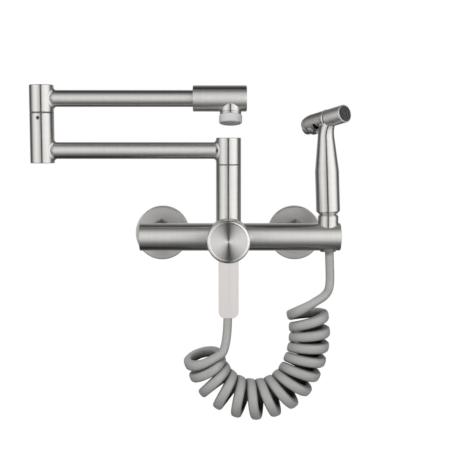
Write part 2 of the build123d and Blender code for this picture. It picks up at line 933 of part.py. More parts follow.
def make_press_shell():
    spread = shell_shoulder - shell_nose
    turn = acos((shell_shoulder - barrel_radius) / spread)
    nose_centre = -shell_straight - spread * sin(turn)
    bend = (shell_nose * cos(turn), nose_centre - shell_nose * sin(turn))
    tail = nose_centre - sqrt(shell_nose ** 2 - shell_tip ** 2)
    profile = [
        Polyline((0, shell_front), (barrel_radius, shell_front), (barrel_radius, -shell_straight)),
        TangentArc((barrel_radius, -shell_straight), bend, tangent=(0, -1)),
        TangentArc(bend, (shell_tip, tail), tangent=(-sin(turn), -cos(turn))),
        Polyline((shell_tip, tail), (0, tail), (0, shell_front)),
    ]
    shell = revolve(Plane.XZ * make_face(profile), Axis.Z)
    for radius, drop, place in zip(pad_radii, pad_drops, pad_places):
        pad = Pos(0, -drop, -place) * Cylinder(radius, pad_length)
        shell += fillet(pad.edges().filter_by(GeomType.CIRCLE), pad_edge)
    shell -= bore(barrel_radius - shell_wall, -shell_cavity, shell_front)
    window = Box(
        2 * shell_slot_half,
        barrel_radius,
        shell_slot_back + shell_front + 1,
        align=(Align.CENTER, Align.MAX, Align.MIN),
    )
    shell -= Pos(0, -shell_slot_top, -shell_slot_back) * window
    shell -= press_pin_frame * bore(press_pin_radius + seat_fit, -20, 20)
    return sprayer_frame * head_line * shell


def make_press_pin():
    half = barrel_radius - 0.3
    return sprayer_frame * head_line * press_pin_frame * rod(press_pin_radius, -half, half)


def make_plunger():
    top = barrel_radius - shell_wall - 0.55
    return sprayer_frame * head_line * plunger_frame * rod(plunger_radius, top - plunger_length, top)


def make_nozzle_face():
    radius = barrel_radius - barrel_rim - running_fit
    front = barrel_front - nozzle_recess
    face = rod(radius, barrel_front - nozzle_depth, front)
    for ring in (2.6, 5.4):
        face -= pipe(ring + 0.7, ring, front - 0.6, front)
    return sprayer_frame * head_line * face


def make_sprayer_fitting():
    fitting = rod(handle_bore - running_fit, 0, handle_bore_depth)
    fitting -= bore(3, 1, handle_bore_depth)
    return sprayer_frame * fitting


# curly hose
def coil_axis(distance):
    """Point and direction of the coil's bent axis, that far from its sprayer end."""
    x, z = coil_start
    heading = radians(coil_heading)
    for length, radius in coil_bends:
        turn = min(distance, length) / radius
        x += radius * (cos(heading + turn) - cos(heading))
        z -= radius * (sin(heading + turn) - sin(heading))
        heading += turn
        distance -= min(distance, length)
    return Vector(x, 0, z), Vector(-sin(heading), 0, -cos(heading))


def coil_reach(turns):
    """Distance along the axis after that many turns, with a wider pitch where the coil sags."""
    reach = coil_pitch * turns
    for height, middle, width in (coil_spread, coil_lead_in, coil_lead_out):
        reach += height * width * sqrt(pi) / 2 * (erf((turns - middle) / width) - erf(-middle / width))
    return reach


def coil_point(turns):
    reach = coil_reach(turns)
    centre, along = coil_axis(max(reach, 0))
    centre += along * min(reach, 0)
    front = Vector(0, -1, 0)
    side = along.cross(front)
    angle = 2 * pi * turns
    return centre + (front * cos(angle) + side * sin(angle)) * coil_radius


def coil_tangent(turns):
    step = 0.001
    return (coil_point(turns + step) - coil_point(turns - step)).normalized()


def biarc(start, start_way, end, end_way):
    """Two arcs that meet smoothly, from one point and direction to another."""
    chord = end - start
    ways = start_way + end_way
    spread = 2 * (1 - start_way.dot(end_way))
    reach = chord.dot(ways)
    handle = (-reach + sqrt(reach ** 2 + spread * chord.dot(chord))) / spread
    first = start + start_way * handle
    last = end - end_way * handle
    middle = (first + last) / 2
    way = (last - first).normalized()
    return [TangentArc(start, middle, tangent=start_way), TangentArc(middle, end, tangent=way)]


coil_first = -coil_overrun
coil_last = coil_turns + coil_overrun
coil_stations = [coil_first + (coil_last - coil_first) * i / coil_steps for i in range(coil_steps + 1)]
coil_right_end = coil_point(coil_first) - coil_tangent(coil_first) * hose_straight
coil_left_end = coil_point(coil_last) + coil_tangent(coil_last) * hose_straight


def hose_tube(path, start, way):
    section = Plane(origin=start, z_dir=way) * RegularPolygon(hose_radius, hose_sides)
    return sweep(section, path=path, clean=False)


def make_coil():
    edges = [Line(coil_right_end, coil_point(coil_first))]
    for a, b in zip(coil_stations, coil_stations[1:]):
        edges += biarc(coil_point(a), coil_tangent(a), coil_point(b), coil_tangent(b))
    edges.append(Line(coil_point(coil_last), coil_left_end))
    return hose_tube(Wire(edges), coil_right_end, coil_tangent(coil_first))


def coil_least_gap():
    """Least clear distance between two turns of the coil, on points along its centre."""
    per_turn = 48
    count = int(coil_turns * per_turn)
    points = [coil_point(i / per_turn) for i in range(count + 1)]
    least = 1000.0
    for i, point in enumerate(points):
        for other in points[i + per_turn // 2:]:
            least = min(least, (other - point).length)
    return least - 2 * hose_radius


def bend_radii(points):
    """Radius for each corner of a route: 0.45 of its shorter run over the tangent of half its turn."""
    radii = []
    for before, corner, after in zip(points, points[1:], points[2:]):
        run_in, run_out = corner - before, after - corner
        half_turn = radians(run_in.get_angle(run_out)) / 2
        radii.append(0.45 * min(run_in.length, run_out.length) / tan(half_turn))
    return radii


def make_lead(name, points):
    radii = bend_radii(points)
    path = FilletPolyline(*points, radius=radii)
    print(name, "bend radii", [round(radius, 1) for radius in radii], "length", round(path.length, 1))
    return hose_tube(path.wire(), points[0], (points[1] - points[0]).normalized())


def sprayer_axis_point(height):
    """Point of the sprayer's leaning axis at a height above the bar axis."""
    return Vector(dock_x - (height - dock_top) * tan(radians(sprayer_lean)), 0, height)


ferrule_end = -nipple_end - hose_washer_thickness - ferrule_length
dock_run_foot = sprayer_axis_point(-dock_run_end)
upper_route = [
    coil_right_end,
    coil_right_end - coil_tangent(coil_first) * upper_lead_start,
    sprayer_axis_point(-upper_lead_drop),
    dock_run_foot,
]
lower_route = [
    coil_left_end,
    coil_left_end + coil_tangent(coil_last) * lower_lead_start,
    *[Vector(*corner) for corner in lower_lead_corners],
    Vector(0, nipple_y, -lower_lead_drop),
    Vector(0, nipple_y, ferrule_end),
]


dock_run_length = (dock_top + dock_run_end) / cos(radians(sprayer_lean))


def make_straight_run():
    """Straight piece of hose through the dock, which rides on the sprayer."""
    run = extrude(RegularPolygon(hose_radius, hose_sides), dock_run_length)
    return sprayer_frame * Pos(0, 0, -dock_run_length) * run


# hose connection under the bar
def make_hose_nut():
    nut = hex_nut(hose_nut_flats, hose_nut_length)
    nut -= bore(nipple_radius + thread_fit, 2.5, hose_nut_length)
    nut -= bore(ferrule_radius + 0.2, 0, hose_nut_length)
    nut_foot = -nipple_end - hose_washer_thickness - 2.0 - 2.5
    return Pos(0, nipple_y, nut_foot) * nut


def make_hose_washer():
    return Pos(0, nipple_y) * pipe(nipple_radius - 0.3, nipple_bore, -nipple_end - hose_washer_thickness, -nipple_end)


def make_hose_ferrule():
    flange_top = -nipple_end - hose_washer_thickness
    ferrule = rod(ferrule_flange_radius, flange_top - 2, flange_top)
    ferrule += rod(ferrule_radius, flange_top - ferrule_length, flange_top)
    ferrule -= bore(nipple_bore - 1, flange_top - ferrule_length + 1, flange_top)
    return Pos(0, nipple_y) * ferrule


def make_parts():
    parts = {
        "valve_body": make_valve_body(),
        "bar_end_cap_left": make_bar_cap(LEFT, -bar_left),
        "bar_end_cap_right": make_bar_cap(RIGHT, bar_right),
        "dock_sleeve": make_dock_sleeve(),
        "hose_guide_bush": make_guide_bush(),
        "union_washers": make_washer(inlets["left"]) + make_washer(inlets["right"]),
        "cartridge_base": make_cartridge_base(),
        "cartridge_housing": make_housing(),
        "ceramic_fixed_disc": make_fixed_disc(),
        "ceramic_moving_disc": make_moving_disc(),
        "cartridge_turret": make_turret(),
        "turret_pin": make_turret_pin(),
        "cartridge_lock_nut": make_lock_nut(),
        "dome_ring": make_dome_ring(),
        "cartridge_spindle": make_spindle(),
        "lever_cap": make_lever_cap(),
        "lever_blade": make_lever_blade(),
        "lever_grub_screw": make_grub_screw(),
        "diverter_sleeve": make_diverter_sleeve(),
        "diverter_shuttle": make_diverter_shuttle(),
        "column_slide_ring": make_slide_ring(riser_radius - 0.2, slide_ring_bore, riser_top),
        "column_set_screw": make_set_screw(
            BACK, riser_bore, set_groove_depth, riser_radius, set_groove_height
        ),
        "column_spigot": make_spigot(
            riser_bore, riser_top, spigot_length, spigot_shank_radius, set_groove_height
        ),
        "column_seals": make_seals(riser_bore, riser_top, spigot_length),
        "swivel_head": make_swivel_head(),
        "lower_arm_tube": make_arm(arm_height_lower, swivel_stub_end, elbow_stub_end),
        "elbow_lower": make_elbow_lower(),
        "elbow_slide_ring": elbow_frame * make_slide_ring(elbow_radius - 0.2, elbow_bore + 0.2, elbow_seam),
        "elbow_set_screw": elbow_frame * Rot(0, 0, -elbow_screw_turn) * make_set_screw(
            FRONT, elbow_bore, set_groove_depth, elbow_radius, elbow_screw_height
        ),
        "elbow_spigot": make_elbow_spigot(),
        "elbow_seals": elbow_frame * make_seals(elbow_bore, elbow_seam, elbow_spigot_length),
        "elbow_upper": make_elbow_upper(),
        "upper_arm_tube": make_upper_arm(),
        "head_retaining_ring": make_retainer(),
        "head_seal": make_head_seal(),
        "spout_head": make_spout_head(),
        "head_end_plug": make_head_plug(),
        "aerator_body": make_aerator_body(),
        "aerator_gasket": make_gasket(),
        "aerator_collar": make_collar(),
        "spray_disc": make_spray_disc(),
        "sprayer_body": make_sprayer_body(),
        "sprayer_press_shell": make_press_shell(),
        "press_pin": make_press_pin(),
        "valve_plunger": make_plunger(),
        "nozzle_face": make_nozzle_face(),
        "sprayer_hose_fitting": make_sprayer_fitting(),
        "hose_dock_run": make_straight_run(),
        "hose_upper_lead": make_lead("hose_upper_lead", upper_route),
        "hose_coil": make_coil(),
        "hose_lower_lead": make_lead("hose_lower_lead", lower_route),
        "hose_ferrule": make_hose_ferrule(),
        "hose_nut": make_hose_nut(),
        "hose_washer": make_hose_washer(),
    }
    for side, x in inlets.items():
        parts[f"wall_rosette_{side}"] = make_rosette(x)
        parts[f"inlet_adapter_{side}"] = make_adapter(x)
        parts[f"union_nut_{side}"] = make_union_nut(x)
    return parts


wall_frame = Pos(0, -bar_reach, inlet_drop)


def save(name, shape):
    export_step(wall_frame * shape, os.path.join("parts", name + ".step"))


print("coil least gap", round(coil_least_gap(), 2))
os.makedirs("parts", exist_ok=True)
for name, shape in make_parts().items():
    save(name, shape)
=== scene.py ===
# %% [markdown]
# # Wall-mounted kitchen faucet with a folding spout and a docked hand sprayer
#
# The metal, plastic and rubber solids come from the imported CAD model. Blender
# adds the soft hose, four small turned details, a finish for every piece and
# the studio round them. Lengths are in metres, +X to the right, -Y toward the
# user, +Z up, and the origin lies on the finished wall midway between the two
# inlets.

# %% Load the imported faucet
from math import cos, erf, pi, radians, sin, sqrt

import bmesh
import bpy
from mathutils import Matrix, Vector


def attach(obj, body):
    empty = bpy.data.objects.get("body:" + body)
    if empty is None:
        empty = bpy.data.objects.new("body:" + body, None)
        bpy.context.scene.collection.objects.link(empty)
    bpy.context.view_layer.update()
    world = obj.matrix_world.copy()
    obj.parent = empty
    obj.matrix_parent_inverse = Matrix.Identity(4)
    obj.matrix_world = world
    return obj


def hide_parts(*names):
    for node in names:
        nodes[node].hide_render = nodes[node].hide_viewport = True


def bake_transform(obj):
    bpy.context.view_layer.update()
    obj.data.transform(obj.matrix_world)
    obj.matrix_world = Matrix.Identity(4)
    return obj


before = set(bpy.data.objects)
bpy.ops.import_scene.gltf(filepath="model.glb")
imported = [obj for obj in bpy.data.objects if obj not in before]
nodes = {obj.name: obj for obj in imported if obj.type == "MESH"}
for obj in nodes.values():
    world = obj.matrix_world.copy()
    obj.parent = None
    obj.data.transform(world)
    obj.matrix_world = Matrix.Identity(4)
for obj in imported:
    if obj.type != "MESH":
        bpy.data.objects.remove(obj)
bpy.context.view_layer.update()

# %% [markdown]
# ## One place for the sizes
#
# The part was drawn about the axis of its horizontal bar, which lies 61 mm in
# front of the wall and 9 mm above the inlets. Points that belong to the drawing
# are easier to read there, so this small helper turns them into metres.

# %% Points given about the bar axis, in millimetres
BAR_REACH = 61.0
INLET_DROP = 9.0


def at(x, y, z):
    """A point in millimetres about the bar axis, as metres in the wall frame."""
    return Vector((x, y - BAR_REACH, z + INLET_DROP)) / 1000


print("bar axis", tuple(at(0, 0, 0)))

# %% [markdown]
# ## The camera
#
# The faucet is seen from straight in front and slightly above. A long lens
# keeps the tubes nearly parallel: 74.3 mm on a 36 mm sensor, from 1.1 m away.

# %% Camera
CAMERA_LENS = 74.3
SENSOR_WIDTH = 36.0
CAMERA_PLACE = at(0.0, -1048.0, 104.8)
LOOK_DOWN = radians(5.6)
LOOK_RIGHT = radians(0.38)

camera_data = bpy.data.cameras.new("Camera")
camera_data.lens = CAMERA_LENS
camera_data.sensor_width = SENSOR_WIDTH
camera = bpy.data.objects.new("Camera", camera_data)
bpy.context.scene.collection.objects.link(camera)
camera.location = CAMERA_PLACE
level = cos(LOOK_DOWN)
gaze = Vector((sin(LOOK_RIGHT) * level, cos(LOOK_RIGHT) * level, -sin(LOOK_DOWN)))
camera.rotation_mode = "QUATERNION"
camera.rotation_quaternion = gaze.to_track_quat("-Z", "Y")
bpy.context.scene.camera = camera
bpy.context.scene.view_settings.view_transform = "Standard"
print("camera at", tuple(round(value, 3) for value in CAMERA_PLACE))

# %% [markdown]
# ## The curly hose
#
# A curly hose is one smooth plastic tube, wound on a rod and set by heat, that
# springs back into a coil. Here it leaves the ferrule under the valve, drops,
# winds fourteen turns along a bent line that sags under its own weight, and
# climbs through the hole in the bar into the sprayer. One NURBS spline holds
# the whole line, and each turn of the coil is sixteen of its control points.
#
# Gravity makes the coil uneven, so plain numbers bend it. The line that it winds
# round has three bends, given as length and radius. The pitch has three soft
# rises or dips, given as height, middle and width in turns. The last loop at the
# valve leans, and the back halves of the loops near the sprayer lie lower; both
# are given as millimetres and the turns between which they fade.

# %% The line that the coil winds round
COIL_START = (83.4, -74.3)
COIL_HEADING = -19.1
COIL_BENDS = ((80.6, 94.9), (119.1, 54.9), (400.0, 123.1))
COIL_RADIUS = 17.5
COIL_TURNS = 14
COIL_OVERRUN = 0.05
COIL_PITCH = 13.22
COIL_SPREAD = (3.82, 9.19, 4.99)
COIL_LEAD_IN = (6.17, 0.0, 1.0)
COIL_LEAD_OUT = (-8.43, 14.3, 0.7)
COIL_TIP = (5.2, 12.2, 13.4)
COIL_TIP_SHIFT = 0.15
COIL_BACK = (3.6, 7.0, 9.5)
SMALL_TURN = 0.001


def coil_axis(distance):
    """Point and direction of the bent line, that far from its sprayer end."""
    x, z = COIL_START
    heading = radians(COIL_HEADING)
    for length, radius in COIL_BENDS:
        turn = min(distance, length) / radius
        x += radius * (cos(heading + turn) - cos(heading))
        z -= radius * (sin(heading + turn) - sin(heading))
        heading += turn
        distance -= min(distance, length)
    return Vector((x, 0, z)), Vector((-sin(heading), 0, -cos(heading)))


def coil_reach(turns):
    """Distance along the line after that many turns: the pitch widens where the coil sags."""
    reach = COIL_PITCH * turns
    for height, middle, width in (COIL_SPREAD, COIL_LEAD_IN, COIL_LEAD_OUT):
        swell = erf((turns - middle) / width) - erf(-middle / width)
        reach += height * width * sqrt(pi) / 2 * swell
    return reach


def eased(value, start, end):
    """0 before start, 1 after end, and a smooth step between them."""
    share = min(max((value - start) / (end - start), 0.0), 1.0)
    return share * share * (3 - 2 * share)


def coil_point(turns, radius=COIL_RADIUS):
    """Point of the coil, in millimetres about the bar axis."""
    reach = coil_reach(turns)
    centre, along = coil_axis(max(reach, 0))
    centre = centre + along * min(reach, 0)
    front = Vector((0, -1, 0))
    side = along.cross(front)
    angle = 2 * pi * turns
    lean, tip_start, tip_end = COIL_TIP
    tip = lean * eased(turns, tip_start, tip_end) * (COIL_TIP_SHIFT - cos(angle))
    drop, drop_start, drop_end = COIL_BACK
    tip += drop * (1 - eased(turns, drop_start, drop_end)) * (1 - cos(angle)) / 2
    return centre + (front * cos(angle) + side * sin(angle)) * radius + along * tip


def coil_way(turns):
    """Direction of the hose at that turn."""
    return (coil_point(turns + SMALL_TURN) - coil_point(turns - SMALL_TURN)).normalized()


coil_first = -COIL_OVERRUN
coil_last = COIL_TURNS + COIL_OVERRUN
print("coil from", tuple(coil_point(coil_first)), "to", tuple(coil_point(coil_last)))

# %% [markdown]
# A quadratic NURBS curve only touches its control polygon at the middle of each
# side, so a coil through sixteen points a turn comes out 2% too slim. The
# control points here stand 4% further out. That is more than the curve loses,
# so the coil measures 17.8 mm in radius and not its nominal 17.5.

# %% Control points of the whole hose, from the valve to the sprayer
HOSE_RADIUS = 4.8
HOSE_STRAIGHT = 10.0
LEAD_START = 8.5
POINTS_PER_TURN = 16
DOCK_X = 108.0
DOCK_TOP = 24.3
SPRAYER_LEAN = radians(2.2)
FERRULE_END = -50.0
NIPPLE_Y = 6.0


def sprayer_axis(height):
    """Point on the leaning axis of the sprayer, at a height above the bar axis."""
    return Vector((DOCK_X - (height - DOCK_TOP) * sin(SPRAYER_LEAN) / cos(SPRAYER_LEAN), 0, height))


left_end = coil_point(coil_last) + coil_way(coil_last) * HOSE_STRAIGHT
right_end = coil_point(coil_first) - coil_way(coil_first) * HOSE_STRAIGHT
hose_route = [
    Vector((0, NIPPLE_Y, FERRULE_END)),
    Vector((0, NIPPLE_Y, -67.0)),
    Vector((-0.8, 4.8, -87.0)),
    Vector((-1.8, -0.5, -110.5)),
    left_end + coil_way(coil_last) * LEAD_START,
    left_end,
]
stood_out = COIL_RADIUS * 2 / (1 + cos(2 * pi / POINTS_PER_TURN))
steps = int(round((coil_last - coil_first) * POINTS_PER_TURN))
for step in range(steps + 1):
    turns = coil_last + (coil_first - coil_last) * step / steps
    hose_route.append(coil_point(turns, stood_out))
hose_route += [
    right_end,
    right_end - coil_way(coil_first) * LEAD_START,
    sprayer_axis(-56.0),
    sprayer_axis(-25.0),
    sprayer_axis(0.0),
    sprayer_axis(DOCK_TOP),
]
print("hose control points", len(hose_route))

# %% [markdown]
# Blender reads the smooth line back as a chain of points, and the same spline
# with a round bevel gives the tube. The tube becomes a mesh, because only a mesh
# can stretch between the fixed valve and the lifted sprayer.

# %% The hose as a mesh tube on its NURBS line
SPAN_STEPS = 4
BEVEL_STEPS = 6


def nurbs_line(name, points, bevel=0.0):
    """Curve object with one open quadratic NURBS spline through control points in millimetres."""
    data = bpy.data.curves.new(name, "CURVE")
    data.dimensions = "3D"
    data.resolution_u = SPAN_STEPS
    data.bevel_depth = bevel
    data.bevel_resolution = BEVEL_STEPS
    data.use_fill_caps = True
    spline = data.splines.new("NURBS")
    spline.points.add(len(points) - 1)
    for control, point in zip(spline.points, points):
        control.co = (*at(*point), 1.0)
    spline.order_u = 3
    spline.use_endpoint_u = True
    line = bpy.data.objects.new(name, data)
    bpy.context.scene.collection.objects.link(line)
    return line


def mesh_of(line):
    """The mesh that a curve object gives."""
    bpy.context.view_layer.update()
    depsgraph = bpy.context.evaluated_depsgraph_get()
    return bpy.data.meshes.new_from_object(line.evaluated_get(depsgraph))


bare_line = nurbs_line("hose_line", hose_route)
hose_points = [vertex.co.copy() for vertex in mesh_of(bare_line).vertices]
round_line = nurbs_line("hose_round", hose_route, HOSE_RADIUS / 1000)
hose = bpy.data.objects.new("curly_hose", mesh_of(round_line))
bpy.context.scene.collection.objects.link(hose)
hose.data.shade_smooth()
for line in (bare_line, round_line):
    bpy.data.objects.remove(line)

# %% [markdown]
# Winding a soft tube on a rod presses it flat against its neighbours, so in the
# coil its section is a little wider along the coil than across, with rounded
# corners. Each ring of the tube is measured in two directions, out from the
# line that the coil winds round and along it, and drawn again as a superellipse.

# %% The pressed section of the coil
SECTION_WIDE = 1.16
SECTION_THIN = 0.98
SECTION_SQUARE = 3.2
SECTION_FADE = 30.0
WINDING_STEPS = 240
WINDING_EXTRA = 4
LEAD_POINTS = 6
ring = len(hose.data.vertices) // len(hose_points)
coil_length = coil_reach(coil_last)
winding = []
for k in range(-WINDING_EXTRA, WINDING_STEPS + WINDING_EXTRA + 1):
    centre, along = coil_axis(coil_length * k / WINDING_STEPS)
    winding.append((at(*centre), along))
travelled = [0.0]
for a, b in zip(hose_points, hose_points[1:]):
    travelled.append(travelled[-1] + (b - a).length * 1000)
low_route, high_route = hose_route[:LEAD_POINTS], hose_route[-LEAD_POINTS:]
lead_low = sum((b - a).length for a, b in zip(low_route, low_route[1:]))
lead_high = sum((b - a).length for a, b in zip(high_route, high_route[1:]))
for index, centre in enumerate(hose_points):
    before = hose_points[max(index - 1, 0)]
    after = hose_points[min(index + 1, len(hose_points) - 1)]
    tangent = (after - before).normalized()
    near = min(travelled[index] - lead_low, travelled[-1] - lead_high - travelled[index])
    share = eased(near, 0.0, SECTION_FADE)
    if share == 0.0:
        continue
    middle, along = min(winding, key=lambda spot: (spot[0] - centre).length_squared)
    outward = centre - middle
    outward = (outward - tangent * outward.dot(tangent)).normalized()
    sideways = tangent.cross(outward)
    for vertex in hose.data.vertices[index * ring:(index + 1) * ring]:
        offset = (vertex.co - centre) / (HOSE_RADIUS / 1000)
        u, w = offset.dot(sideways), offset.dot(outward)
        square = (abs(u) ** SECTION_SQUARE + abs(w) ** SECTION_SQUARE) ** (-1 / SECTION_SQUARE)
        pressed = sideways * (u * square * SECTION_WIDE)
        pressed += outward * (w * square * SECTION_THIN)
        vertex.co += (pressed - offset) * share * HOSE_RADIUS / 1000
left_over = len(hose.data.vertices) - ring * len(hose_points)
print("rings", len(hose_points), "of", ring, "left over", left_over)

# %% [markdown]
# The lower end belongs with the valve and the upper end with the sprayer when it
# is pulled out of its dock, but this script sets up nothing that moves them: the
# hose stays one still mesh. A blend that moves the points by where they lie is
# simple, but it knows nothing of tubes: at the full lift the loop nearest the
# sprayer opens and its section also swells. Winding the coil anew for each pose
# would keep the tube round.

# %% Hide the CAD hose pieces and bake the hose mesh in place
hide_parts("hose_coil", "hose_upper_lead", "hose_lower_lead", "hose_dock_run")
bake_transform(hose)

# %% [markdown]
# ## The studio
#
# White photo studios light metal with large soft panels, because metal shows
# nothing but its surroundings. Here one large ball stands round the faucet and
# only reflections see it. Its brightness changes with direction: a bright band
# on both sides, a narrow dark slit behind the camera, and a dark floor. Two
# ramps, one round the horizon and one from nadir to zenith, are multiplied.

# %% Small helpers for shader nodes
def math_node(tree, operation, *values):
    """Math node on sockets or numbers, returned as its output socket."""
    node = tree.nodes.new("ShaderNodeMath")
    node.operation = operation
    return wired(tree, node, values).outputs[0]


def vector_node(tree, operation, *values):
    """Vector Math node on sockets or triples, returned as the output that its operation uses."""
    node = tree.nodes.new("ShaderNodeVectorMath")
    node.operation = operation
    wired(tree, node, values)
    gives_number = operation in ("LENGTH", "DOT_PRODUCT")
    return node.outputs["Value" if gives_number else "Vector"]


def wired(tree, node, values):
    """Link or set a node's inputs in order."""
    for socket, value in zip(node.inputs, values):
        if isinstance(value, bpy.types.NodeSocket):
            tree.links.new(value, socket)
        else:
            socket.default_value = value
    return node


def ramp_node(tree, factor, stops, low, high):
    """Colour ramp that reads a value between low and high and gives greys."""
    spread = tree.nodes.new("ShaderNodeMapRange")
    wired(tree, spread, (factor, low, high))
    ramp = tree.nodes.new("ShaderNodeValToRGB")
    tree.links.new(spread.outputs["Result"], ramp.inputs["Fac"])
    elements = ramp.color_ramp.elements
    for index, (place, grey) in enumerate(stops):
        spot = (place - low) / (high - low)
        element = elements[index] if index < 2 else elements.new(spot)
        element.position = spot
        element.color = (grey, grey, grey, 1)
    return ramp.outputs["Color"]


print("shader helpers ready")

# %% [markdown]
# Each stop below is a direction in degrees and a brightness. Round the horizon,
# 0 points from the faucet to the viewer and +90 to the right, so the dark slit
# lies at -7 to 3.5. The stops are halved in their ramp, so that they stay between
# 0 and 1, and the light's strength doubles them again.

# %% Brightness of the panels by direction
ROUND_THE_HORIZON = (
    (-180, 0.6), (-140, 0.32), (-125, 0.1), (-106, 0.14), (-95, 0.5), (-78, 1.1),
    (-53, 1.55), (-35, 1.35), (-14, 0.9), (-9, 0.65), (-7, 0.02), (3.5, 0.02),
    (6, 1.0), (14, 1.4), (35, 1.65), (60, 1.75), (81, 1.4), (94, 0.72),
    (106, 0.22), (120, 0.1), (140, 0.32), (180, 0.6),
)
NADIR_TO_ZENITH = (
    (-90, 0.03), (-77, 0.06), (-60, 0.12), (-46, 0.24), (-32, 0.47), (-18, 0.77),
    (0, 0.97), (8, 1.0), (20, 0.93), (35, 0.78), (48, 0.5), (62, 0.2),
    (80, 0.11), (90, 0.1),
)


def sphere_mesh(name, radius, rings, segments):
    """Ball of quads about the origin."""
    mesh = bpy.data.meshes.new(name)
    ball = bmesh.new()
    bmesh.ops.create_uvsphere(ball, u_segments=segments, v_segments=rings, radius=radius)
    ball.to_mesh(mesh)
    ball.free()
    return mesh


PANEL_RADIUS = 2.5
PANEL_RINGS = 32
PANEL_SEGMENTS = 64
PANEL_STRENGTH = 2.0
panel_mesh = sphere_mesh("studio_panels", PANEL_RADIUS, PANEL_RINGS, PANEL_SEGMENTS)
panels = bpy.data.objects.new("studio_panels", panel_mesh)
bpy.context.scene.collection.objects.link(panels)
panels.location = at(0, 0, 60)
for ray in ("camera", "diffuse", "transmission", "volume_scatter", "shadow"):
    setattr(panels, f"visible_{ray}", False)

panel_finish = bpy.data.materials.new("panel_light")
panel_finish.use_nodes = True
tree = panel_finish.node_tree
tree.nodes.clear()
place = tree.nodes.new("ShaderNodeTexCoord").outputs["Object"]
split = wired(tree, tree.nodes.new("ShaderNodeSeparateXYZ"), (place,))
right, back, up = split.outputs
toward_viewer = math_node(tree, "MULTIPLY", back, -1.0)
azimuth = math_node(tree, "DEGREES", math_node(tree, "ARCTAN2", right, toward_viewer))
height = math_node(tree, "DIVIDE", up, PANEL_RADIUS)
elevation = math_node(tree, "DEGREES", math_node(tree, "ARCSINE", height))
halved = tuple((angle, grey / PANEL_STRENGTH) for angle, grey in ROUND_THE_HORIZON)
light = vector_node(
    tree,
    "MULTIPLY",
    ramp_node(tree, azimuth, halved, -180, 180),
    ramp_node(tree, elevation, NADIR_TO_ZENITH, -90, 90),
)
glow = tree.nodes.new("ShaderNodeEmission")
glow.inputs["Strength"].default_value = PANEL_STRENGTH
tree.links.new(light, glow.inputs["Color"])
output = tree.nodes.new("ShaderNodeOutputMaterial")
tree.links.new(glow.outputs[0], output.inputs["Surface"])
panels.data.materials.append(panel_finish)
print("panel stops", len(ROUND_THE_HORIZON), len(NADIR_TO_ZENITH))

# %% [markdown]
# The plastic and rubber pieces take their light from a grey sky and two soft
# lamps. The camera, reflections and glass see a plain white of strength 1
# instead of that grey, so the background is white without more light on the
# faucet.

# %% Sky and lamps
SKY_GREY = 0.3
world = bpy.data.worlds.new("studio_sky")
bpy.context.scene.world = world
world.use_nodes = True
tree = world.node_tree
tree.nodes.clear()
seen = tree.nodes.new("ShaderNodeLightPath")
plain = seen.outputs["Is Camera Ray"]
for ray in ("Is Glossy Ray", "Is Transmission Ray"):
    plain = math_node(tree, "MAXIMUM", plain, seen.outputs[ray])
grey_sky = tree.nodes.new("ShaderNodeBackground")
grey_sky.inputs["Color"].default_value = (SKY_GREY, SKY_GREY, SKY_GREY, 1)
white_sky = tree.nodes.new("ShaderNodeBackground")
white_sky.inputs["Color"].default_value = (1, 1, 1, 1)
choice = tree.nodes.new("ShaderNodeMixShader")
tree.links.new(plain, choice.inputs["Fac"])
tree.links.new(grey_sky.outputs[0], choice.inputs[1])
tree.links.new(white_sky.outputs[0], choice.inputs[2])
output = tree.nodes.new("ShaderNodeOutputWorld")
tree.links.new(choice.outputs[0], output.inputs["Surface"])


def soft_lamp(name, place, aim, size, power):
    """Square area lamp that reflections don't see."""
    data = bpy.data.lights.new(name, "AREA")
    data.size = size
    data.energy = power
    lamp = bpy.data.objects.new(name, data)
    bpy.context.scene.collection.objects.link(lamp)
    lamp.location = place
    lamp.rotation_mode = "QUATERNION"
    lamp.rotation_quaternion = (aim - place).to_track_quat("-Z", "Y")
    lamp.visible_glossy = False
    return lamp


MIDDLE = at(0, 0, 20)
soft_lamp("key_lamp", at(-500, -1000, 1000), MIDDLE, size=0.6, power=18.0)
soft_lamp("fill_lamp", at(900, -900, 200), MIDDLE, size=0.7, power=6.0)

# %% [markdown]
# ## The floor
#
# A wall faucet hangs above the sink, so the floor of the studio lies well below
# it. It is a pale matt plane that keeps the faucet's shadow near the middle and
# turns into the white background further out.

# %% Floor
FLOOR_HEIGHT = -0.6
FLOOR_HALF = 12.0
FADE_START = 0.3
FADE_END = 0.8
PAPER_GREY = 0.8
floor_mesh = bpy.data.meshes.new("studio_floor")
signs = ((-1, -1), (1, -1), (1, 1), (-1, 1))
floor_corners = [(x * FLOOR_HALF, y * FLOOR_HALF, 0) for x, y in signs]
floor_mesh.from_pydata(floor_corners, [], [(0, 1, 2, 3)])
floor = bpy.data.objects.new("studio_floor", floor_mesh)
bpy.context.scene.collection.objects.link(floor)
floor.location = (0, 0, FLOOR_HEIGHT)
floor.visible_glossy = False

floor_finish = bpy.data.materials.new("floor_paper")
floor_finish.use_nodes = True
tree = floor_finish.node_tree
tree.nodes.clear()
paper = tree.nodes.new("ShaderNodeBsdfDiffuse")
paper.inputs["Color"].default_value = (PAPER_GREY, PAPER_GREY, PAPER_GREY, 1)
white = tree.nodes.new("ShaderNodeEmission")
white.inputs["Color"].default_value = (1, 1, 1, 1)
place = tree.nodes.new("ShaderNodeTexCoord").outputs["Object"]
distance = vector_node(tree, "LENGTH", place)
fade = tree.nodes.new("ShaderNodeMapRange")
fade.interpolation_type = "SMOOTHSTEP"
wired(tree, fade, (distance, FADE_START, FADE_END))
seen = tree.nodes.new("ShaderNodeLightPath")
far = math_node(tree, "MULTIPLY", fade.outputs["Result"], seen.outputs["Is Camera Ray"])
choice = tree.nodes.new("ShaderNodeMixShader")
tree.links.new(far, choice.inputs["Fac"])
tree.links.new(paper.outputs[0], choice.inputs[1])
tree.links.new(white.outputs[0], choice.inputs[2])
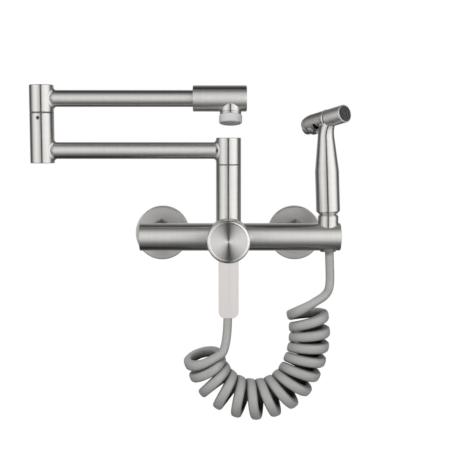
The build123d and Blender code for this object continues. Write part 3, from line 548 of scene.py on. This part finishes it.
output = tree.nodes.new("ShaderNodeOutputMaterial")
tree.links.new(choice.outputs[0], output.inputs["Surface"])
floor_mesh.materials.append(floor_finish)
print("floor at", FLOOR_HEIGHT)

# %% [markdown]
# ## Brushed nickel
#
# The faucet is brushed on a lathe: fine scratches run round every tube and disc.
# Such scratches blur a reflection across them and leave it sharp along them, so
# a tube shows crisp stripes along its length and the lever's disc shows a dark
# fan. The Principled shader does this with its anisotropy, once its tangent
# points across the scratches. That direction is worked out from the axis that
# the piece was turned on. A shared group gives the visible scratches, as noise
# stretched into rings about the same axis: fine lines, and broader bands among
# them. A slow drift keeps the rings from being perfect.

# %% Group of the turned scratches
DRIFT_SCALE = 14.0
BAND_SCALE = 0.12
turned_lines = bpy.data.node_groups.new("turned_lines", "ShaderNodeTree")
for name, kind in (("Centre", "Vector"), ("Axis", "Vector"), ("Density", "Float")):
    turned_lines.interface.new_socket(name, in_out="INPUT", socket_type=f"NodeSocket{kind}")
for name in ("Lines", "Bands"):
    turned_lines.interface.new_socket(name, in_out="OUTPUT", socket_type="NodeSocketFloat")
tree = turned_lines
given = tree.nodes.new("NodeGroupInput")
place = tree.nodes.new("ShaderNodeTexCoord").outputs["Object"]
offset = vector_node(tree, "SUBTRACT", place, given.outputs["Centre"])
along = vector_node(tree, "DOT_PRODUCT", offset, given.outputs["Axis"])
shadow = vector_node(tree, "SCALE", given.outputs["Axis"])
tree.links.new(along, shadow.node.inputs["Scale"])
across = vector_node(tree, "LENGTH", vector_node(tree, "SUBTRACT", offset, shadow))
coordinate = tree.nodes.new("ShaderNodeCombineXYZ")
wired(
    tree,
    coordinate,
    (
        math_node(tree, "MULTIPLY", along, given.outputs["Density"]),
        math_node(tree, "MULTIPLY", across, given.outputs["Density"]),
        0.0,
    ),
)
slow = vector_node(tree, "SCALE", offset)
slow.node.inputs["Scale"].default_value = DRIFT_SCALE
noise_place = vector_node(tree, "ADD", coordinate.outputs[0], slow)
fine = tree.nodes.new("ShaderNodeTexNoise")
fine.inputs["Scale"].default_value = 1.0
fine.inputs["Detail"].default_value = 3.0
tree.links.new(noise_place, fine.inputs["Vector"])
broad = tree.nodes.new("ShaderNodeTexNoise")
broad.inputs["Scale"].default_value = BAND_SCALE
broad.inputs["Detail"].default_value = 1.0
tree.links.new(noise_place, broad.inputs["Vector"])
result = tree.nodes.new("NodeGroupOutput")
tree.links.new(fine.outputs["Fac"], result.inputs["Lines"])
tree.links.new(broad.outputs["Fac"], result.inputs["Bands"])
print("group", turned_lines.name, [item.name for item in turned_lines.interface.items_tree])

# %% [markdown]
# Fingers and water leave faint patches on a satin finish. They are larger than
# the scratches and change only how rough the metal looks, so one slow noise,
# pushed towards its ends, is enough for every metal.

# %% Group of the handling marks
MARKS_LOW = 0.35
MARKS_HIGH = 0.7
handling_marks = bpy.data.node_groups.new("handling_marks", "ShaderNodeTree")
handling_marks.interface.new_socket("Size", in_out="INPUT", socket_type="NodeSocketFloat")
handling_marks.interface.new_socket("Marks", in_out="OUTPUT", socket_type="NodeSocketFloat")
tree = handling_marks
given = tree.nodes.new("NodeGroupInput")
place = tree.nodes.new("ShaderNodeTexCoord").outputs["Object"]
cloud = tree.nodes.new("ShaderNodeTexNoise")
cloud.inputs["Detail"].default_value = 4.0
tree.links.new(place, cloud.inputs["Vector"])
tree.links.new(given.outputs["Size"], cloud.inputs["Scale"])
contrast = tree.nodes.new("ShaderNodeMapRange")
wired(tree, contrast, (cloud.outputs["Fac"], MARKS_LOW, MARKS_HIGH))
result = tree.nodes.new("NodeGroupOutput")
tree.links.new(contrast.outputs["Result"], result.inputs["Marks"])
print("group", handling_marks.name)

# %% [markdown]
# Some CAD pieces were turned on more than one axis: the valve body is a bar, a
# boss and a riser in one. A region is a mask and its own axis, and the masks
# choose which axis the scratches follow at each point. The scratches make the
# colour, the roughness and the surface vary together, and a Bevel node rounds
# the sharp CAD edges where light falls on them.

# %% Metal material for one or more turning axes
X_AXIS, Y_AXIS, Z_AXIS = (1.0, 0.0, 0.0), (0.0, 1.0, 0.0), (0.0, 0.0, 1.0)
MARKS_SIZE = 22.0
TONE_SPREAD = 0.1
LINE_TONE = 0.8
BAND_TONE = 0.4
TONE_SHIFT = -0.1
LINE_ROUGHNESS = 0.1
MARK_ROUGHNESS = 0.03
ROUGHNESS_SHIFT = 0.06
BUMP_DISTANCE = 0.0002
BEVEL_SAMPLES = 4


def chosen(tree, mask, first, second):
    """First vector where the mask is 0, second where it is 1."""
    mix = tree.nodes.new("ShaderNodeMix")
    mix.data_type = "VECTOR"
    tree.links.new(mask, mix.inputs["Factor"])
    for socket, value in ((mix.inputs[4], first), (mix.inputs[5], second)):
        if isinstance(value, bpy.types.NodeSocket):
            tree.links.new(value, socket)
        else:
            socket.default_value = value
    return mix.outputs[1]


def tones(tree, factor, base, spread):
    """A colour that goes from a little darker to a little lighter than the base."""
    tone = tree.nodes.new("ShaderNodeMix")
    tone.data_type = "RGBA"
    tree.links.new(factor, tone.inputs["Factor"])
    tone.inputs[6].default_value = (*[value * (1 - spread) for value in base], 1)
    tone.inputs[7].default_value = (*[min(1, value * (1 + spread)) for value in base], 1)
    return tone.outputs[2]


def turned_metal(
    name,
    base,
    roughness,
    centre,
    axis,
    regions=(),
    anisotropy=1.0,
    density=2600.0,
    depth=0.03,
    rounding=0.3,
):
    """Brushed metal whose scratches run round an axis, or another one inside each region."""
    finish = bpy.data.materials.new(name)
    finish.use_nodes = True
    tree = finish.node_tree
    shader = tree.nodes["Principled BSDF"]
    shader.inputs["Metallic"].default_value = 1.0
    shader.inputs["Anisotropic"].default_value = anisotropy
    place = tree.nodes.new("ShaderNodeTexCoord").outputs["Object"]
    centre, axis = tuple(centre), tuple(axis)
    for region, other_centre, other_axis in regions:
        mask = region(tree, place)
        centre = chosen(tree, mask, centre, tuple(other_centre))
        axis = chosen(tree, mask, axis, tuple(other_axis))
    lines = tree.nodes.new("ShaderNodeGroup")
    lines.node_tree = turned_lines
    wired(tree, lines, (centre, axis, density))
    marks = tree.nodes.new("ShaderNodeGroup")
    marks.node_tree = handling_marks
    marks.inputs["Size"].default_value = MARKS_SIZE

    fine, broad = lines.outputs["Lines"], lines.outputs["Bands"]
    streaks = math_node(tree, "MULTIPLY_ADD", broad, BAND_TONE, TONE_SHIFT)
    streaks = math_node(tree, "MULTIPLY_ADD", fine, LINE_TONE, streaks)
    tree.links.new(tones(tree, streaks, base, TONE_SPREAD), shader.inputs["Base Color"])

    rough = math_node(tree, "MULTIPLY_ADD", fine, LINE_ROUGHNESS, roughness - ROUGHNESS_SHIFT)
    rough = math_node(tree, "MULTIPLY_ADD", marks.outputs["Marks"], MARK_ROUGHNESS, rough)
    tree.links.new(rough, shader.inputs["Roughness"])

    bump = tree.nodes.new("ShaderNodeBump")
    bump.inputs["Strength"].default_value = depth
    bump.inputs["Distance"].default_value = BUMP_DISTANCE
    tree.links.new(fine, bump.inputs["Height"])
    tree.links.new(bump.outputs["Normal"], shader.inputs["Normal"])
    edge = tree.nodes.new("ShaderNodeBevel")
    edge.samples = BEVEL_SAMPLES
    edge.inputs["Radius"].default_value = rounding / 1000
    tree.links.new(edge.outputs["Normal"], bump.inputs["Normal"])

    if anisotropy:
        spoke = vector_node(tree, "SUBTRACT", place, centre)
        around = vector_node(tree, "CROSS_PRODUCT", axis, spoke)
        posed = tree.nodes.new("ShaderNodeVectorTransform")
        posed.vector_type = "VECTOR"
        posed.convert_from = "OBJECT"
        posed.convert_to = "WORLD"
        tree.links.new(around, posed.inputs["Vector"])
        normal = edge.outputs["Normal"]
        tangent = vector_node(tree, "CROSS_PRODUCT", normal, posed.outputs["Vector"])
        tree.links.new(vector_node(tree, "NORMALIZE", tangent), shader.inputs["Tangent"])
    return finish


def dress(finish, *names):
    """Give CAD nodes one material."""
    for name in names:
        mesh = nodes[name].data
        mesh.materials.clear()
        mesh.materials.append(finish)


print("metal recipe ready")

# %% [markdown]
# A mask tests where a point of the piece lies: inside a box, inside a cylinder,
# or inside one and outside another. Most limits are set a hair outside the shape
# that they hold, so that its own surface is inside the mask.

# %% Masks for regions
def inside(tree, value, low, high):
    """1 where a value lies between two limits."""
    above = math_node(tree, "GREATER_THAN", value, low)
    return math_node(tree, "MULTIPLY", above, math_node(tree, "LESS_THAN", value, high))


def box_region(low, high):
    """Mask of a box, from two corners in metres."""
    def region(tree, place):
        split = wired(tree, tree.nodes.new("ShaderNodeSeparateXYZ"), (place,))
        mask = inside(tree, split.outputs[0], low[0], high[0])
        for k in (1, 2):
            limits = inside(tree, split.outputs[k], low[k], high[k])
            mask = math_node(tree, "MULTIPLY", mask, limits)
        return mask
    return region


def round_region(centre, axis, radius, low, high):
    """Mask of a cylinder about an axis, between two distances along it."""
    def region(tree, place):
        offset = vector_node(tree, "SUBTRACT", place, tuple(centre))
        along = vector_node(tree, "DOT_PRODUCT", offset, tuple(axis))
        shadow = vector_node(tree, "SCALE", tuple(axis))
        tree.links.new(along, shadow.node.inputs["Scale"])
        away = vector_node(tree, "LENGTH", vector_node(tree, "SUBTRACT", offset, shadow))
        near = math_node(tree, "LESS_THAN", away, radius)
        return math_node(tree, "MULTIPLY", near, inside(tree, along, low, high))
    return region


def beyond(region, centre, axis, radius):
    """The same mask, only outside a long cylinder."""
    cylinder = round_region(centre, axis, radius, -1.0, 1.0)

    def outer(tree, place):
        outside = math_node(tree, "SUBTRACT", 1.0, cylinder(tree, place))
        return math_node(tree, "MULTIPLY", region(tree, place), outside)
    return outer


print("masks ready")

# %% [markdown]
# The valve is one casting, turned and brushed in three directions: along the
# bar, round the boss that holds the cartridge, and up the riser. Its end caps and
# the sleeve that holds the sprayer have one direction each.

# %% Nickel on the valve bar, boss and riser
NICKEL = (0.7, 0.685, 0.665)
NICKEL_ROUGHNESS = 0.3
bar_centre = at(0, 0, 0)
boss_region = round_region(bar_centre, Y_AXIS, radius=0.0217, low=-0.04, high=0.0021)
riser_region = box_region(at(-14, -14, 15.2), at(14, 14, 90))
nipple_region = box_region(at(-10, -10, -30), at(10, 16, -15.2))
dress(
    turned_metal(
        "valve_nickel",
        NICKEL,
        NICKEL_ROUGHNESS,
        bar_centre,
        X_AXIS,
        (
            (boss_region, bar_centre, Y_AXIS),
            (riser_region, bar_centre, Z_AXIS),
            (nipple_region, bar_centre, Z_AXIS),
        ),
    ),
    "valve_body",
)
cap_nickel = turned_metal("bar_cap_nickel", NICKEL, NICKEL_ROUGHNESS, bar_centre, X_AXIS)
dress(cap_nickel, "bar_end_cap_left", "bar_end_cap_right")
dock_nickel = turned_metal("dock_nickel", NICKEL, NICKEL_ROUGHNESS, at(DOCK_X, 0, 0), Z_AXIS)
dress(dock_nickel, "dock_sleeve")
print("valve dressed")

# %% [markdown]
# The spout is tubes and short columns, welded at right angles. Each column is
# brushed round its upright axis and carries a stub that is brushed round the
# arm's axis, so the reflections turn by a right angle where they meet.

# %% Nickel on the folding spout
LOWER_ARM = 93.4
UPPER_ARM = 148.9
ELBOW_X = -200.0
lower_axis = at(0, 0, LOWER_ARM)
upper_axis = at(0, 0, UPPER_ARM)
elbow_axis = at(ELBOW_X, 0, 0)
swivel_stub = box_region(at(-40, -14, 80), at(-13.6, 14, 110))
lower_stub = box_region(at(ELBOW_X + 13.1, -14, 80), at(ELBOW_X + 40, 14, 110))
upper_stub = box_region(at(ELBOW_X + 13.1, -14, 135), at(ELBOW_X + 40, 14, 165))
HEAD_TILT = radians(11)
OUTLET_X = 2.2
outlet_axis = Vector((0, -sin(HEAD_TILT), -cos(HEAD_TILT)))
outlet_centre = at(OUTLET_X, 0, UPPER_ARM)
outlet_stub = round_region(outlet_centre, outlet_axis, radius=0.0117, low=0.0075, high=0.03)
outlet_region = beyond(outlet_stub, upper_axis, X_AXIS, radius=0.01405)
swivel_parts = ((swivel_stub, lower_axis, X_AXIS),)
lower_parts = ((lower_stub, lower_axis, X_AXIS),)
upper_parts = ((upper_stub, upper_axis, X_AXIS),)
head_parts = ((outlet_region, outlet_centre, outlet_axis),)
for name, centre, axis, parts, dressed in (
    ("swivel_nickel", bar_centre, Z_AXIS, swivel_parts, ("swivel_head",)),
    ("lower_arm_nickel", lower_axis, X_AXIS, (), ("lower_arm_tube",)),
    ("upper_arm_nickel", upper_axis, X_AXIS, (), ("upper_arm_tube",)),
    ("lower_elbow_nickel", elbow_axis, Z_AXIS, lower_parts, ("elbow_lower",)),
    ("upper_elbow_nickel", elbow_axis, Z_AXIS, upper_parts, ("elbow_upper",)),
    ("spout_head_nickel", upper_axis, X_AXIS, head_parts, ("spout_head", "head_end_plug")),
):
    dress(turned_metal(name, NICKEL, NICKEL_ROUGHNESS, centre, axis, parts), *dressed)
print("spout dressed")

# %% [markdown]
# The lever's disc is the brightest piece, and its fan of light is what the eye
# catches. The flat blade is brushed lengthwise instead, so its scratches run
# nearly straight: parts of very large circles about a level axis far in front of
# the blade give just that.

# %% Nickel on the lever
LEVER_NICKEL = (0.74, 0.725, 0.705)
LEVER_ROUGHNESS = 0.33
BLADE_NICKEL = (0.86, 0.82, 0.8)
BLADE_ROUGHNESS = 0.42
far_in_front = at(0, -5000, 0)
lever_nickel = turned_metal(
    "lever_nickel",
    LEVER_NICKEL,
    LEVER_ROUGHNESS,
    bar_centre,
    Y_AXIS,
    density=3200.0,
    depth=0.04,
    rounding=2.6,
)
dress(lever_nickel, "lever_cap")
dome_nickel = turned_metal(
    "dome_nickel", NICKEL, NICKEL_ROUGHNESS, bar_centre, Y_AXIS, rounding=0.6
)
dress(dome_nickel, "dome_ring")
blade_nickel = turned_metal(
    "blade_nickel",
    BLADE_NICKEL,
    BLADE_ROUGHNESS,
    far_in_front,
    X_AXIS,
    anisotropy=0.6,
    density=1100.0,
    rounding=0.6,
)
dress(blade_nickel, "lever_blade")
print("lever dressed")

# %% [markdown]
# ## Small turned pieces
#
# A few details are too fine for the CAD model, such as the polished rim of the
# lever. Each is a closed profile of points, turned about an axis, which is what
# a lathe does. The helper makes one row of quads for each step of the turn. It
# can also wave the widest part of the profile in and out, which gives ribs.

# %% A ring turned about any axis
def turned_ring(name, centre, axis, profile, segments=96, ribs=0, rib_height=0.0):
    """Closed ring: points of (radius, distance along the axis) in millimetres, turned about it."""
    mesh = bpy.data.meshes.new(name)
    ring_mesh = bmesh.new()
    upright = Vector(axis).to_track_quat("Z", "Y").to_matrix()
    widest = max(r for r, h in profile)
    loops = []
    for k in range(segments):
        angle = 2 * pi * k / segments
        outward = upright @ Vector((cos(angle), sin(angle), 0))
        rib = rib_height * cos(ribs * angle)
        loop = []
        for r, h in profile:
            reach = r + (rib if r == widest else 0)
            spot = (outward * reach + Vector(axis) * h) / 1000
            loop.append(ring_mesh.verts.new(centre + spot))
        loops.append(loop)
    for k in range(segments):
        first, second = loops[k], loops[(k + 1) % segments]
        for j in range(len(profile)):
            following = (j + 1) % len(profile)
            ring_mesh.faces.new((first[j], second[j], second[following], first[following]))
    bmesh.ops.recalc_face_normals(ring_mesh, faces=ring_mesh.faces)
    ring_mesh.to_mesh(mesh)
    ring_mesh.free()
    mesh.shade_smooth()
    piece = bpy.data.objects.new(name, mesh)
    bpy.context.scene.collection.objects.link(piece)
    return piece


print("ring helper ready")

# %% [markdown]
# The edge of the lever's disc is rounded and polished, and its curve runs
# through all the directions of the studio, so it shows as a thin bright ring.
# Its profile is a superellipse round the edge of the CAD disc.

# %% The polished rim of the lever
LEVER_RADIUS = 22.0
LEVER_FACE = 54.0
RIM_START = 19.3
RIM_REACH = 3.3
RIM_DEPTH = 3.5
RIM_SQUARE = 2.7
RIM_LIFT = 0.2
RIM_STEPS = 12
RIM_NICKEL = (0.84, 0.83, 0.81)
rim_profile = [(RIM_START - 0.1, LEVER_FACE - 0.3)]
for k in range(RIM_STEPS + 1):
    quarter = pi / 2 * (1 - k / RIM_STEPS)
    rise = max(sin(quarter), 0.0) ** (2 / RIM_SQUARE)
    reach = max(cos(quarter), 0.0) ** (2 / RIM_SQUARE)
    rim_profile.append(
        (RIM_START + RIM_REACH * reach, LEVER_FACE + RIM_LIFT - RIM_DEPTH + RIM_DEPTH * rise)
    )
rim_profile.append((LEVER_RADIUS - 0.6, LEVER_FACE + RIM_LIFT - RIM_DEPTH))
rim = turned_ring("lever_rim", bar_centre, (0, -1, 0), rim_profile, segments=128)
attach(rim, "lever")
rim_nickel = turned_metal(
    "rim_nickel", RIM_NICKEL, 0.22, bar_centre, Y_AXIS, anisotropy=0.5, depth=0.01
)
rim.data.materials.append(rim_nickel)
print("rim faces", len(rim.data.polygons))

# %% [markdown]
# The outlet ends in a short metal neck, and under it a ribbed grey collar holds
# the aerator. The collar stands for its plainer CAD solid, because it starts a
# little lower and has fine grip ribs.

# %% The outlet's neck and the aerator's collar
OUTLET_DROP = 15.5
OUTLET_RADIUS = 11.5
COLLAR_TOP = 18.1
COLLAR_END = 27.1
COLLAR_RADIUS = 12.2
COLLAR_ROUND = 0.9
AERATOR_BARREL = 8.5
SEAT_WIDTH = 1.3
SEAT_DEPTH = 1.0
neck = turned_ring(
    "outlet_neck",
    outlet_centre,
    outlet_axis,
    [
        (OUTLET_RADIUS - 2, OUTLET_DROP - 0.3),
        (OUTLET_RADIUS, OUTLET_DROP - 0.3),
        (OUTLET_RADIUS, COLLAR_TOP + 0.2),
        (OUTLET_RADIUS - 2, COLLAR_TOP + 0.2),
    ],
)
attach(neck, "spout_head")
outlet_nickel = turned_metal(
    "outlet_nickel", NICKEL, NICKEL_ROUGHNESS, outlet_centre, outlet_axis
)
neck.data.materials.append(outlet_nickel)
collar = turned_ring(
    "ribbed_collar",
    outlet_centre,
    outlet_axis,
    [
        (AERATOR_BARREL, COLLAR_TOP),
        (COLLAR_RADIUS - 0.5, COLLAR_TOP),
        (COLLAR_RADIUS - 0.1, COLLAR_TOP + 0.4),
        (COLLAR_RADIUS, COLLAR_TOP + 1.0),
        (COLLAR_RADIUS, COLLAR_END - 1.6),
        (COLLAR_RADIUS - 0.1, COLLAR_END - COLLAR_ROUND),
        (COLLAR_RADIUS - 0.35, COLLAR_END - 0.35),
        (COLLAR_RADIUS - COLLAR_ROUND, COLLAR_END),
        (AERATOR_BARREL + SEAT_WIDTH, COLLAR_END),
        (AERATOR_BARREL + SEAT_WIDTH, COLLAR_END - SEAT_DEPTH),
        (AERATOR_BARREL, COLLAR_END - SEAT_DEPTH),
    ],
    segments=240,
    ribs=60,
    rib_height=0.1,
)
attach(collar, "aerator_collar")
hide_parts("aerator_collar")
print("collar faces", len(collar.data.polygons))

# %% [markdown]
# The sprayer's handle is turned about one axis and its barrel about another,
# which points to the right and toward the user. The thumb shell behind the seam
# is clearly darker than the rest, so its base colour is darker too.

# %% Nickel on the hand sprayer
BARREL_HEIGHT = 0.1025
SHELL_NICKEL = (0.5, 0.495, 0.48)
SHELL_ROUGHNESS = 0.4
handle_base = at(DOCK_X, 0, DOCK_TOP)
handle_axis = Vector((-sin(SPRAYER_LEAN), 0, cos(SPRAYER_LEAN)))
HEAD_TURN = radians(37.7)
HEAD_RISE = radians(9.4)
level = cos(HEAD_RISE)
barrel_way = Vector((sin(HEAD_TURN) * level, -cos(HEAD_TURN) * level, sin(HEAD_RISE)))
lean = Matrix.Rotation(-SPRAYER_LEAN, 3, "Y")
barrel_axis = lean @ barrel_way
barrel_centre = handle_base + handle_axis * BARREL_HEIGHT
barrel_region = round_region(barrel_centre, barrel_axis, radius=0.0097, low=-0.02, high=0.04)
sprayer_nickel = turned_metal(
    "sprayer_nickel",
    NICKEL,
    NICKEL_ROUGHNESS,
    handle_base,
    handle_axis,
    ((barrel_region, barrel_centre, barrel_axis),),
)
dress(sprayer_nickel, "sprayer_body")
shell_nickel = turned_metal(
    "press_shell_nickel", SHELL_NICKEL, SHELL_ROUGHNESS, barrel_centre, barrel_axis
)
dress(shell_nickel, "sprayer_press_shell")
print("sprayer axis", tuple(round(v, 3) for v in handle_axis))

# %% [markdown]
# A polished lip runs round the open end of the press shell. It stands a little
# proud of the barrel, and because it is polished and curved it catches light as
# one bright line. It is a small profile turned about the barrel's axis.

# %% The polished lip of the press shell
BARREL_RADIUS = 9.5
SHELL_FRONT = 4.4
LIP_WIDTH = 1.5
LIP_RISE = 0.5
LIP_SINK = 0.6
LIP_STEPS = 8
LIP_NICKEL = (0.86, 0.85, 0.83)
lip_profile = [
    (BARREL_RADIUS - LIP_SINK, SHELL_FRONT - 0.2),
    (BARREL_RADIUS - LIP_SINK, SHELL_FRONT - LIP_WIDTH),
]
for k in range(LIP_STEPS + 1):
    half_turn = pi * k / LIP_STEPS
    lip_profile.append(
        (
            BARREL_RADIUS + LIP_RISE * sin(half_turn),
            SHELL_FRONT - LIP_WIDTH / 2 - LIP_WIDTH / 2 * cos(half_turn),
        )
    )
lip = turned_ring("press_shell_lip", barrel_centre, barrel_axis, lip_profile)
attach(lip, "press_shell")
polished_nickel = turned_metal(
    "polished_nickel", LIP_NICKEL, 0.14, barrel_centre, barrel_axis, anisotropy=0.0, depth=0.01
)
lip.data.materials.append(polished_nickel)
print("lip", len(lip.data.polygons), "faces")

# %% [markdown]
# The rosettes have the same plating over a blasted, more even ground, so they
# are rougher and their brushing shows half as much. The union nuts and adapters
# have the same plating too; their darker base colour is painted shade, for the
# shade that they sit in behind the bar. Brass, steel and the nut of the hose are
# small or hidden, so they get no brushing direction at all.

# %% Satin nickel on the wall side
SATIN_NICKEL = (0.74, 0.725, 0.705)
SHADE_DARKENED_NICKEL = (0.36, 0.35, 0.335)
BRASS = (0.74, 0.58, 0.3)
STEEL = (0.5, 0.5, 0.5)
DARK_STEEL = (0.12, 0.12, 0.12)
INLET_X = 75
for side, x in (("left", -INLET_X), ("right", INLET_X)):
    inlet = at(x, 0, -INLET_DROP)
    satin = turned_metal(f"satin_nickel_{side}", SATIN_NICKEL, 0.5, inlet, Y_AXIS, anisotropy=0.5)
    dress(satin, f"wall_rosette_{side}")
    # Painted shade: the union nuts and adapters get a darker nickel for the shade behind the bar.
    nut = turned_metal(f"union_shade_darkened_nickel_{side}", SHADE_DARKENED_NICKEL, 0.3, at(x, 0, 0), Y_AXIS, rounding=0.5)
    dress(nut, f"union_nut_{side}", f"inlet_adapter_{side}")
for name, base, roughness, centre, axis, dressed in (
    ("under_nickel", NICKEL, 0.4, at(0, NIPPLE_Y, 0), Z_AXIS, ("hose_nut", "hose_ferrule")),
    (
        "inner_brass", BRASS, 0.3, bar_centre, Y_AXIS,
        ("cartridge_lock_nut", "cartridge_spindle", "diverter_sleeve", "valve_plunger"),
    ),
    (
        "column_brass", BRASS, 0.3, bar_centre, Z_AXIS,
        ("column_spigot", "elbow_spigot", "sprayer_hose_fitting"),
    ),
    (
        "screw_steel", STEEL, 0.32, bar_centre, Y_AXIS,
        ("turret_pin", "lever_grub_screw", "head_retaining_ring", "press_pin"),
    ),
    ("dark_steel", DARK_STEEL, 0.35, bar_centre, Y_AXIS, ("column_set_screw", "elbow_set_screw")),
):
    dress(turned_metal(name, base, roughness, centre, axis, anisotropy=0.0), *dressed)
print("wall side dressed")

# %% [markdown]
# ## Plastics, rubber and ceramic
#
# Moulded plastic is not perfectly smooth: a fine grain breaks its gloss and its
# colour clouds a little. One group gives both, and each material sets its own
# grain size.

# %% Group of the moulded grain
CLOUD_SHARE = 0.04
moulded_grain = bpy.data.node_groups.new("moulded_grain", "ShaderNodeTree")
moulded_grain.interface.new_socket("Grain Scale", in_out="INPUT", socket_type="NodeSocketFloat")
for name in ("Grain", "Clouds"):
    moulded_grain.interface.new_socket(name, in_out="OUTPUT", socket_type="NodeSocketFloat")
tree = moulded_grain
given = tree.nodes.new("NodeGroupInput")
place = tree.nodes.new("ShaderNodeTexCoord").outputs["Object"]
result = tree.nodes.new("NodeGroupOutput")
for name, share in (("Grain", 1.0), ("Clouds", CLOUD_SHARE)):
    speckle = tree.nodes.new("ShaderNodeTexNoise")
    speckle.inputs["Detail"].default_value = 3.0
    tree.links.new(place, speckle.inputs["Vector"])
    scale = math_node(tree, "MULTIPLY", given.outputs["Grain Scale"], share)
    tree.links.new(scale, speckle.inputs["Scale"])
    tree.links.new(speckle.outputs["Fac"], result.inputs[name])
print("group", moulded_grain.name)

# %% Recipe for a moulded material
CLOUD_SPREAD = 0.08
GRAIN_ROUGHNESS = 0.12


def moulded(name, base, roughness, grain=1500.0, depth=0.15):
    """Satin or matt plastic, rubber or ceramic with a fine grain."""
    finish = bpy.data.materials.new(name)
    finish.use_nodes = True
    tree = finish.node_tree
    shader = tree.nodes["Principled BSDF"]
    group = tree.nodes.new("ShaderNodeGroup")
    group.node_tree = moulded_grain
    group.inputs["Grain Scale"].default_value = grain
    tone = tones(tree, group.outputs["Clouds"], base, CLOUD_SPREAD)
    tree.links.new(tone, shader.inputs["Base Color"])
    grains = group.outputs["Grain"]
    rough = math_node(tree, "MULTIPLY_ADD", grains, GRAIN_ROUGHNESS, roughness - ROUGHNESS_SHIFT)
    tree.links.new(rough, shader.inputs["Roughness"])
    bump = tree.nodes.new("ShaderNodeBump")
    bump.inputs["Strength"].default_value = depth
    bump.inputs["Distance"].default_value = BUMP_DISTANCE
    tree.links.new(grains, bump.inputs["Height"])
    tree.links.new(bump.outputs["Normal"], shader.inputs["Normal"])
    return finish


print("moulded recipe ready")

# %% [markdown]
# Little light reaches the hollows between the loops of the hose, and that shade
# is painted into its colour. An Ambient Occlusion node measures how closed in each
# point is, and its power blends the plain grey towards near black, which sets
# each loop off from the next.

# %% The grey plastic of the hose, with painted shade in its hollows
HOSE_GREY = (0.335, 0.338, 0.324)
SHADE_PAINT_BLACK = (0.02, 0.02, 0.019, 1)
HOLLOW_REACH = 0.045
HOLLOW_POWER = 1.7
HOLLOW_SAMPLES = 8
hose_finish = moulded("hose_plastic", HOSE_GREY, 0.42, grain=900.0)
tree = hose_finish.node_tree
shader = tree.nodes["Principled BSDF"]
unshaded_tone = shader.inputs["Base Color"].links[0].from_socket
# Painted shade: occlusion darkens the hose's base colour towards near black in its hollows.
hollows = tree.nodes.new("ShaderNodeAmbientOcclusion")
hollows.samples = HOLLOW_SAMPLES
hollows.only_local = True
hollows.inputs["Distance"].default_value = HOLLOW_REACH
openness = math_node(tree, "POWER", hollows.outputs["AO"], HOLLOW_POWER)
painted_shade = tree.nodes.new("ShaderNodeMix")
painted_shade.data_type = "RGBA"
painted_shade.inputs[6].default_value = SHADE_PAINT_BLACK
tree.links.new(openness, painted_shade.inputs["Factor"])
tree.links.new(unshaded_tone, painted_shade.inputs[7])
tree.links.new(painted_shade.outputs[2], shader.inputs["Base Color"])
hose.data.materials.clear()
hose.data.materials.append(hose_finish)
dress(hose_finish, "hose_dock_run", "hose_upper_lead", "hose_coil", "hose_lower_lead")
print("hose dressed")

# %% [markdown]
# The rest is plain: a light grey collar and spray disc at the outlet, black
# rubber at the nozzle, dark slide rings that show as the thin seams of the
# columns, and inside the faucet white plastic, rubber seals and ceramic discs.

# %% The other moulded pieces
collar_finish = moulded("collar_plastic", (0.47, 0.465, 0.465), 0.4)
collar.data.materials.append(collar_finish)
dress(collar_finish, "aerator_collar")
dress(moulded("spray_plastic", (0.36, 0.356, 0.356), 0.45), "spray_disc")
dress(moulded("dark_acetal", (0.1, 0.1, 0.1), 0.4), "column_slide_ring", "elbow_slide_ring")
dress(moulded("nozzle_rubber", (0.035, 0.035, 0.037), 0.5), "nozzle_face")
dress(moulded("bush_plastic", (0.12, 0.12, 0.118), 0.45), "hose_guide_bush")
dress(
    moulded("inner_plastic", (0.78, 0.78, 0.75), 0.45),
    "cartridge_base",
    "cartridge_housing",
    "cartridge_turret",
    "diverter_shuttle",
    "aerator_body",
)
dress(
    moulded("seal_rubber", (0.03, 0.03, 0.03), 0.6),
    "union_washers",
    "column_seals",
    "elbow_seals",
    "head_seal",
    "aerator_gasket",
    "hose_washer",
)
ceramic = moulded("ceramic_discs", (0.86, 0.85, 0.81), 0.15, depth=0.03)
dress(ceramic, "ceramic_fixed_disc", "ceramic_moving_disc")
bare = [
    name
    for name, node in nodes.items()
    if not node.data.materials or node.data.materials[0] is None
]
print("moulded pieces dressed, nodes without a finish:", bare)
